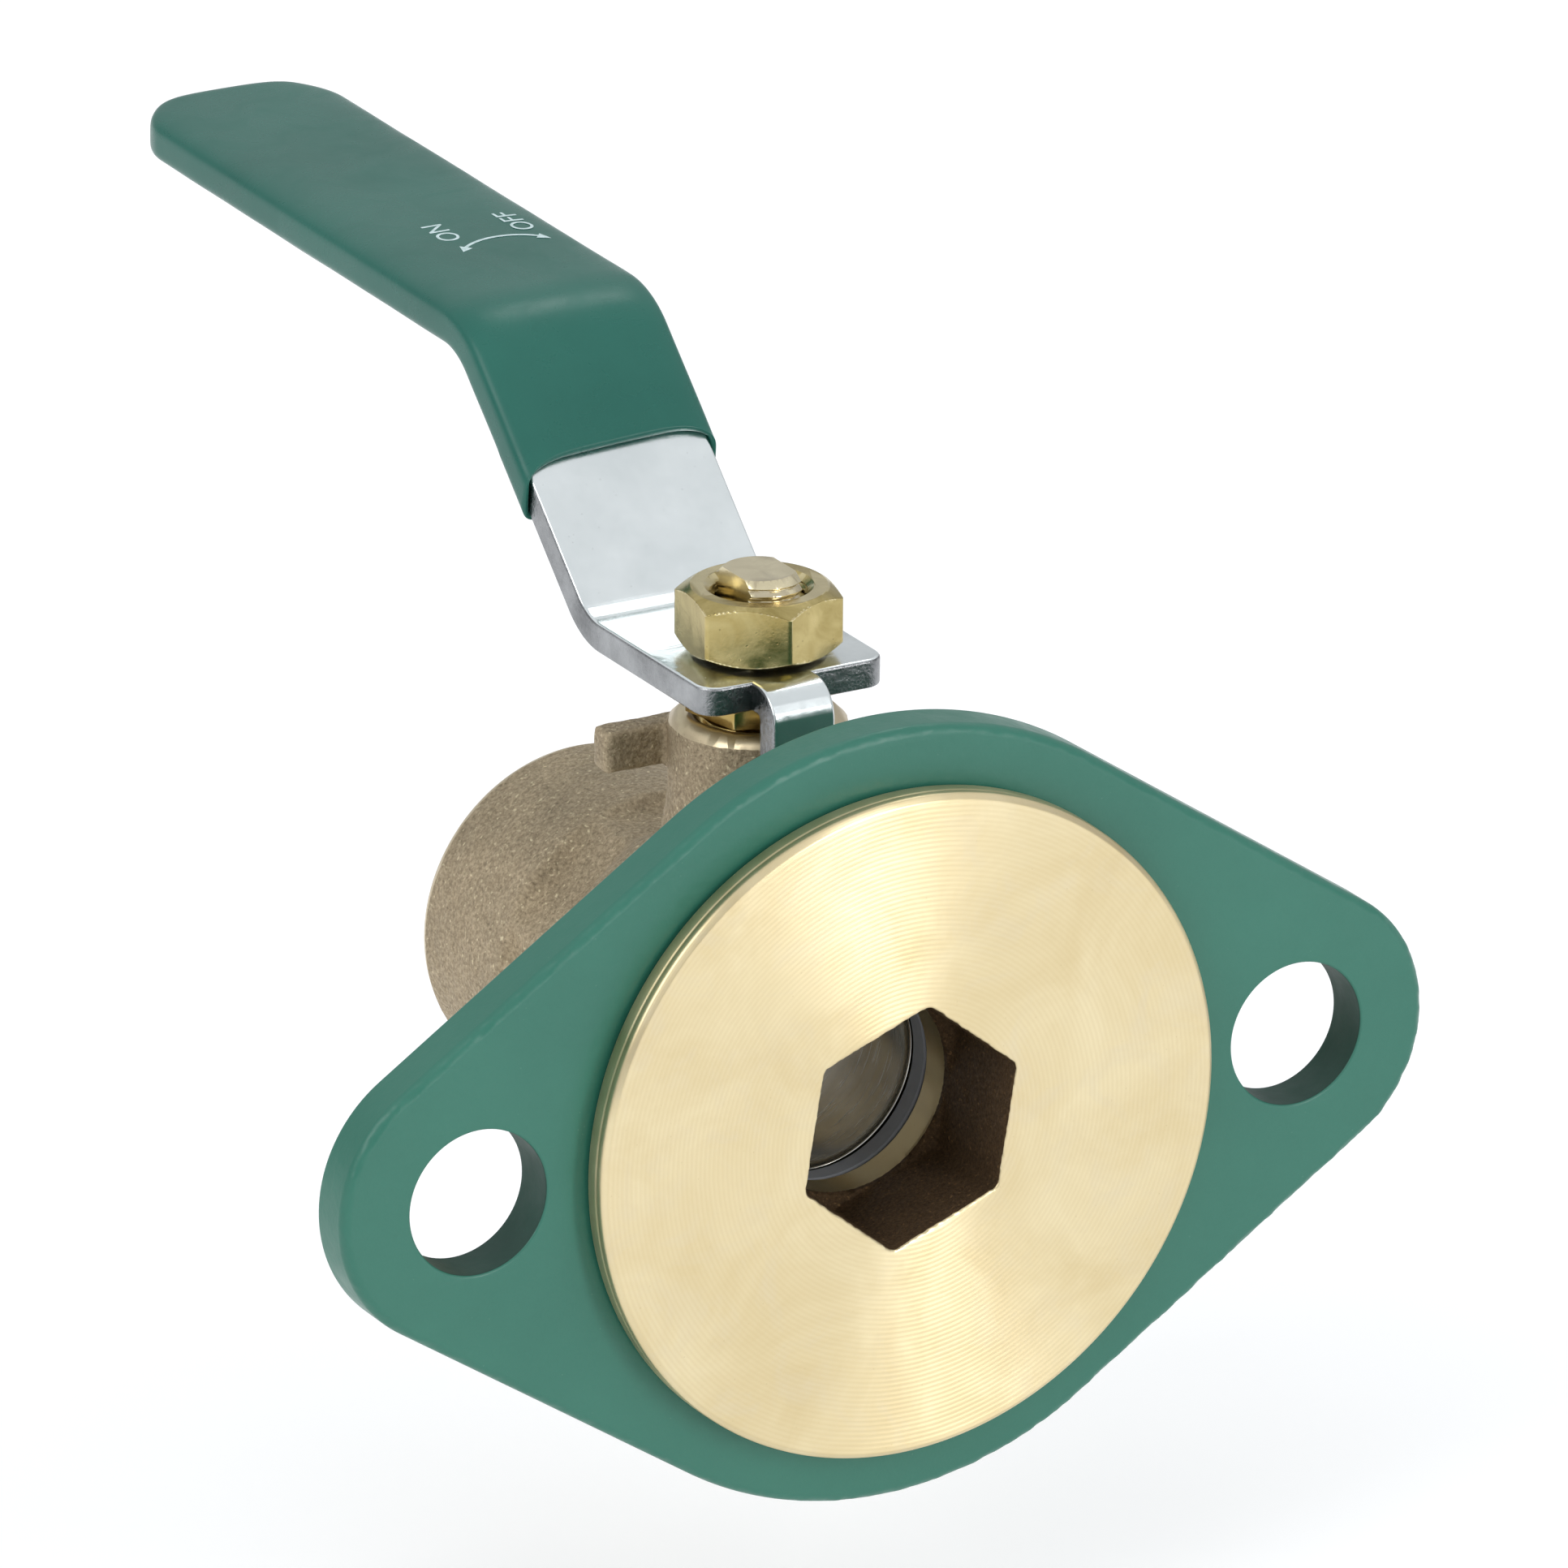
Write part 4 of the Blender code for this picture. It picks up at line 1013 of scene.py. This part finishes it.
def make_packing_nut():
    low, high = packing_nut_low.z, packing_nut_high.z
    base = body_high.z + CLEARANCE
    nut = hex_nut("packing_nut_brass_hex", base, high, 11.1 * MM, math.radians(42), False, 0.6)
    shank = threaded("shank", 5.3 * MM, 0.35 * MM, low, base + 0.5 * MM, 1.0 * MM)
    combine(nut, shank, "UNION")
    bore = [(4.3 * MM, low - 1 * MM), (4.3 * MM, high + 1 * MM)]
    combine(nut, solid_turned("bore", bore, "stem", 96))
    soften(nut, 0.08 * MM, 2, 28)
    smooth(nut, 30)
    return stands_for(nut, "packing_nut", "packing_nut_brass")


# The lever and its grip, which follow one bent line in (along, height), along being from the stem

TAB_MIDDLE = lever_low.y - STEM_Y + LEVER_THICKNESS / 2
FIRST_BEND = 14.6 * MM
RISER_ANGLE = math.radians(43)
RISE = 20.3 * MM
GRIP_TILT = math.radians(0.9)
LEVER_REACH = lever_high.y - STEM_Y
BENDS = (1.8 * MM, 6.5 * MM, 8.0 * MM)


def bent_line():
    """Its straight runs and bends as (start, heading, curvature, length)."""
    second = Vector((FIRST_BEND + RISE / math.tan(RISER_ANGLE), LEVER_MIDDLE + RISE))
    tip = Vector((LEVER_REACH, second.y + (LEVER_REACH - second.x) * math.tan(GRIP_TILT)))
    corners = [Vector((TAB_MIDDLE, lever_low.z)), Vector((TAB_MIDDLE, LEVER_MIDDLE)),
               Vector((FIRST_BEND, LEVER_MIDDLE)), second, tip]
    runs, start = [], corners[0]
    for before, corner, after, radius in zip(corners, corners[1:], corners[2:], BENDS):
        arriving, leaving = (corner - before).normalized(), (after - corner).normalized()
        turn = math.atan2(arriving.cross(leaving), arriving.dot(leaving))
        reach = radius * math.tan(abs(turn) / 2)
        heading = math.atan2(arriving.y, arriving.x)
        bend_start = corner - arriving * reach
        runs.append((start, heading, 0.0, (bend_start - start).length))
        runs.append((bend_start, heading, math.copysign(1 / radius, turn), radius * abs(turn)))
        start = corner + leaving * reach
    last = (corners[-1] - corners[-2]).normalized()
    runs.append((start, math.atan2(last.y, last.x), 0.0, (corners[-1] - start).length))
    return runs


LINE = bent_line()
LINE_LENGTH = sum(run[3] for run in LINE)
STEM_AT = LINE[0][3] + LINE[1][3] - LINE[2][0].x  # the stem's axis, as a length along the line
FIRST_BEND_AT = LINE[0][3] + LINE[1][3] + LINE[2][3] + LINE[3][3] / 2


def along_line(length):
    """The point and heading at a length along the line."""
    length = float(length)
    for start, heading, curvature, run in LINE[:-1]:
        if length <= run:
            break
        length -= run
    else:
        start, heading, curvature, run = LINE[-1]
    if curvature == 0:
        return start + length * Vector((math.cos(heading), math.sin(heading))), heading
    turned_to = heading + curvature * length
    rise = math.cos(heading) - math.cos(turned_to)
    step = Vector((math.sin(turned_to) - math.sin(heading), rise))
    return start + step / curvature, turned_to


def on_line(x, length, off):
    """The place of a point at x, a length along the line and off it on its upper side."""
    point, heading = along_line(length)
    y = STEM_Y + point.x - off * math.sin(heading)
    return Vector((x, y, point.y + off * math.cos(heading)))


def bend_levels():
    """Lengths along the line where a bent piece needs edges across it."""
    levels, at = [], 0.0
    for _, _, curvature, run in LINE:
        if curvature:
            levels += list(at + np.linspace(0, run, max(8, int(run / (0.35 * MM)))))
        at += run
    return levels


def make_lever():
    front = STEM_AT - 6.7 * MM
    half = LEVER_HALF_WIDTH
    blank = rounded(
        [
            (TAB_LEFT, 0, 0.5 * MM), (TAB_RIGHT, 0, 0.5 * MM), (TAB_RIGHT, front, 0),
            (half, front, 2.0 * MM), (half, LINE_LENGTH, 5.0 * MM), (-half, LINE_LENGTH, 5.0 * MM),
            (-half, front, 2.0 * MM), (TAB_LEFT, front, 0),
        ],
        8,
    )
    flat, radius = 2.8 * MM, 4.3 * MM
    corner = math.acos(flat / radius)
    hole = [
        (radius * math.cos(a), STEM_AT + radius * math.sin(a))
        for start in (corner, math.pi + corner)
        for a in np.linspace(start, start + math.pi - 2 * corner, 24)
    ]
    half_thick = LEVER_THICKNESS / 2
    edge = rolled(-half_thick, half_thick, 0.2 * MM, 0.32 * MM, 5)
    hole_edge = rolled(-half_thick, half_thick, 0.12 * MM, 0.15 * MM, 3)
    lever = plate("lever_plated", dense(blank, 0.5 * MM), [hole], edge, hole_edge)
    build = edited(lever.data)
    cut_across(build, 1, bend_levels() + list(np.arange(front, LINE_LENGTH, 1.2 * MM)))
    written(build, lever.data)
    wear(lever, "zinc", "sheared_zinc")
    for face in lever.data.polygons:
        face.material_index = int(abs(face.normal.z) < 0.8)
    for point in lever.data.vertices:
        x, length, off = point.co
        if abs(off) < 1.0 * MM:
            wave = jitter((x, length, off), 0.5 * MM, 4.0) * 0.05 * MM
            x += math.copysign(wave, x)
        point.co = on_line(x, length, off)
    face_outwards(lever.data)
    smooth(lever, 40)
    return stands_for(lever, "lever")


GRIP_HALF_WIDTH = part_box("lever_grip")[1].x - 0.4 * MM
GRIP_HALF_HEIGHT = LEVER_THICKNESS / 2 + 1.05 * MM
GRIP_END = LINE_LENGTH + 1.05 * MM
GRIP_TIP_CORNER = 6.0 * MM
GRIP_EDGE = 1.7 * MM
GRIP_POWER = 4.6  # how square the grip's section is
MOUTH_AT = FIRST_BEND_AT + 13.2 * MM


def superellipse(half_width, half_height, power, steps):
    """Points round a rounded bar's section, as arrays of across and off."""
    angles = full_turn(steps)
    cosine, sine = np.cos(angles), np.sin(angles)
    return (
        half_width * np.sign(cosine) * np.abs(cosine) ** (2 / power),
        half_height * np.sign(sine) * np.abs(sine) ** (2 / power),
    )


def mouth_length(across, off, half_width, half_height):
    """Where the dipped edge lies: further up the riser on the top and in the middle."""
    upward = off / half_height
    middle = 1 - abs(across / half_width) ** 5
    askew = 0.25 * (1 + upward) * across / half_width
    return MOUTH_AT + (1.5 * upward + 0.6 * (1 + upward) * middle + askew) * MM


def grip_ring(length, half_width, half_height, power, grow):
    """One ring of the grip. Near the mouth it follows the dipped edge."""
    across, off = superellipse(half_width, half_height, power, 160)
    points = []
    for x, up in zip(across, off):
        x, up = float(x), float(up)
        edge = mouth_length(x, up, half_width, half_height)
        near = math.exp(-max(length - MOUTH_AT, 0) / (6 * MM))
        place = length + (edge - MOUTH_AT) * near
        near_end = max(0, 1 - (GRIP_END - length) / (6 * MM))
        crown = 0.9 * MM * (1 - (x / GRIP_HALF_WIDTH) ** 2) * near_end
        points.append(on_line(x, min(place + crown * grow, GRIP_END + MM), up))
    return points


def make_grip():
    rings = []
    tip_start = GRIP_END - GRIP_TIP_CORNER - 0.9 * MM
    end = GRIP_END - 0.9 * MM

    def outer_size(length):
        into = max(0.0, length - tip_start) / GRIP_TIP_CORNER
        width = GRIP_HALF_WIDTH - GRIP_TIP_CORNER * (1 - math.sqrt(max(0, 1 - into**2)))
        into_edge = max(0.0, length - (end - GRIP_EDGE)) / GRIP_EDGE
        height = GRIP_HALF_HEIGHT - (GRIP_EDGE * 0.85) * (1 - math.sqrt(max(0, 1 - into_edge**2)))
        return width, height

    # The outside, from the tip down to the mouth
    curve = [1 - math.cos(a) for a in np.linspace(0, math.pi / 2, 26)]
    tip = [end - (end - tip_start) * c for c in curve]
    straight = list(np.linspace(tip_start - 0.8 * MM, MOUTH_AT + 1.4 * MM, 110))
    for length in tip + straight:
        width, height = outer_size(length)
        rings.append(grip_ring(length, width, height, GRIP_POWER, 1.0))
    # The lip, which turns over to the steel
    inner_width, inner_height = LEVER_HALF_WIDTH + 0.07 * MM, LEVER_THICKNESS / 2 + 0.07 * MM
    wall = GRIP_HALF_WIDTH - inner_width, GRIP_HALF_HEIGHT - inner_height
    for angle in np.linspace(0, math.pi, 12):
        share = (1 + math.cos(angle)) / 2
        bead = 0.55 * MM * (1 - math.sin(angle))
        power = GRIP_POWER + (1 - share) * 9
        size = inner_width + wall[0] * share, inner_height + wall[1] * share
        rings.append(grip_ring(MOUTH_AT + bead, *size, power, 1.0))
    # The inside, back along the steel
    for length in np.linspace(MOUTH_AT + 1.5 * MM, LINE_LENGTH - 5 * MM, 90):
        rings.append(grip_ring(length, inner_width, inner_height, 14, 0.0))
    grip = ring_object("lever_grip_dipped", rings, closed=False, caps=True)
    roughen(grip, [(0.05 * MM, 9 * MM, 6.0)], lambda p: float(p.z > 45 * MM))
    smooth(grip, 60, weighted=False)
    return stands_for(grip, "lever_grip", "green_vinyl")


# The printed marks on the grip

PRINT_LIFT = 0.03 * MM
PRINT_THICKNESS = 0.02 * MM


def grip_top(x, y):
    """The height of the grip's top at a place on its straight run."""
    start, heading = LINE[-1][:2]
    middle = start.y + (y - STEM_Y - start.x) * math.tan(heading)
    share = 1 - abs(x / GRIP_HALF_WIDTH) ** GRIP_POWER
    return middle + GRIP_HALF_HEIGHT * share ** (1 / GRIP_POWER) / math.cos(heading)


def lay_on_grip(item, name):
    """Subdivides a flat mark in the XY plane and lays it on the grip's top."""
    build = edited(item.data)
    for axis in (0, 1):
        values = [v.co[axis] for v in build.verts]
        cut_across(build, axis, np.arange(min(values), max(values), 0.6 * MM))
    for vert in build.verts:
        vert.co.z += grip_top(vert.co.x, vert.co.y) + PRINT_LIFT
    written(build, item.data)
    item.name = name
    wear(item, "print_ink")
    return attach(item, BODY_OF["lever_grip"])


def make_arrow():
    """The two-headed turn arrow."""
    centre, radius, half_sweep = Vector((2.3, 72.9)) * MM, 5.6 * MM, math.radians(40)
    half_line, head, head_half = 0.16 * MM, 1.25 * MM, 0.62 * MM
    angles = np.linspace(math.pi / 2 + half_sweep, math.pi / 2 - half_sweep, 40)

    def at(angle, reach):
        return (centre.x + reach * math.cos(angle), centre.y + reach * math.sin(angle))

    def head_at(angle, onward):
        point = at(angle + onward, radius - 0.1 * MM)
        return [at(angle, radius + head_half), point, at(angle, radius - head_half)]

    outer = [at(a, radius + half_line) for a in angles]
    inner = [at(a, radius - half_line) for a in angles[::-1]]
    right = head_at(angles[-1], -head / radius)
    left = head_at(angles[0], head / radius)[::-1]
    half = PRINT_THICKNESS / 2
    outline = (outer + right + inner + left)[::-1]
    arrow = plate("arrow", outline, [], [(0, -half), (0, half)])
    return lay_on_grip(arrow, "turn_arrow")


def make_word(word, name, corner):
    """A word that reads away from the stem, with its letters' tops towards -X."""
    text = bpy.data.curves.new(name, "FONT")
    text.body = word
    text.size = 2.9 * MM
    text.extrude = PRINT_THICKNESS / 2
    mesh = mesh_of_curve(name, text)
    place = Matrix.Translation((*(Vector(corner) * MM), 0))
    mesh.transform(place @ Matrix.Rotation(math.pi / 2, 4, "Z"))
    build = edited(mesh)
    bmesh.ops.remove_doubles(build, verts=build.verts, dist=1e-7)
    return lay_on_grip(new_object(name, written(build, mesh)), name)


# Inner pieces keep their solids


def finish_inner_nodes():
    packing = ("packing_ring_1", "packing_ring_2", "packing_ring_3")
    for name in ("body_seal", "thrust_washer", *packing, "gland_ring"):
        node = frame["nodes"][name]
        wear(node, "packing_nut_brass" if name == "gland_ring" else "seat_plastic")
        node.data.shade_smooth()
        node.data.set_sharp_from_angle(angle=math.radians(35))


# The studio


def make_floor():
    build = bmesh.new()
    bmesh.ops.create_grid(build, x_segments=1, y_segments=1, size=6.0)
    floor = new_object("floor", written(build, "floor"))
    # Below the swivelling plate's reach
    floor.location.z = -cad_box[1].x - 0.5 * MM
    glow = {"Emission Color": (1, 1, 1, 1), "Emission Strength": 0.16}
    paper = Finish("paper", 0.9, fixed=glow)
    grain = paper.noise(60 * MM, 3.0)
    colour = paper.blend(grain, (0.90, 0.90, 0.905), (0.92, 0.92, 0.925))
    floor.data.materials.append(paper.finished(colour=colour))


def add_light(name, place, aim, size, watts):
    lamp = bpy.data.lights.new(name, "AREA")
    lamp.shape = "RECTANGLE"
    lamp.size, lamp.size_y = size
    lamp.energy = watts
    item = bpy.data.objects.new(name, lamp)
    bpy.context.scene.collection.objects.link(item)
    item.location = place
    item.rotation_euler = (Vector(aim) - Vector(place)).to_track_quat("-Z", "Y").to_euler()


def make_world():
    """An even white room that is dimmer near the floor."""
    world = bpy.data.worlds.new("studio")
    bpy.context.scene.world = world
    world.use_nodes = True
    tree = world.node_tree
    backdrop = tree.nodes["Background"]
    backdrop.inputs["Color"].default_value = (0.96, 0.98, 1.0, 1)
    direction = add_node(tree, "ShaderNodeTexCoord", output="Generated")
    height = add_node(tree, "ShaderNodeSeparateXYZ", {0: direction}, "Z")
    span = {"Value": height, "From Min": 0.32, "From Max": 0.62, "To Min": 0.6, "To Max": 0.9}
    dimmed = add_node(tree, "ShaderNodeMapRange", span, interpolation_type="SMOOTHSTEP")
    tree.links.new(dimmed, backdrop.inputs["Strength"])


def make_camera():
    """The photograph's view: a long lens low over the left of the disc, without shift."""
    yaw, elevation, roll = (math.radians(a) for a in (-29.7, 20.77, 0.45))
    distance, right_of, above = 1242.95 * MM, -11.1 * MM, 29.22 * MM
    level = math.cos(elevation)
    back = Vector((math.sin(yaw) * level, -math.cos(yaw) * level, math.sin(elevation)))
    right = Vector((math.cos(yaw), math.sin(yaw), 0))
    up = back.cross(right)
    rolled_right = math.cos(roll) * right + math.sin(roll) * up
    rolled_up = -math.sin(roll) * right + math.cos(roll) * up
    lens = bpy.data.cameras.new("camera")
    lens.sensor_width = 36.0
    lens.lens = 336.24
    lens.clip_start, lens.clip_end = 0.05, 50
    camera = bpy.data.objects.new("camera", lens)
    bpy.context.scene.collection.objects.link(camera)
    axes = Matrix((rolled_right, rolled_up, back)).transposed().to_4x4()
    place = back * distance + right * right_of + up * above
    camera.matrix_world = Matrix.Translation(place) @ axes
    bpy.context.scene.camera = camera


def make_studio():
    make_floor()
    make_world()
    add_light("key", (-1.2, -0.3, 0.9), (0, 0.03, 0.01), (0.9, 0.9), 7)
    add_light("strip", (0.42, -1.02, 0.34), (0, 0, 0), (0.16, 0.8), 4.8)
    add_light("top", (0.6, 0.5, 1.1), (0, 0.06, 0.05), (0.3, 0.3), 0.8)
    make_camera()
    bpy.context.scene.view_settings.view_transform = "Standard"


make_tailpiece()
make_flange()
make_body()
make_ball()
make_seat("seat_front")
make_seat("seat_rear")
make_stem()
make_packing_nut()
make_lever_nut()
make_lever()
make_grip()
make_arrow()
make_word("ON", "word_on", (-0.4, 79.2))
make_word("OFF", "word_off", (6.9, 79.0))
finish_inner_nodes()
make_studio()
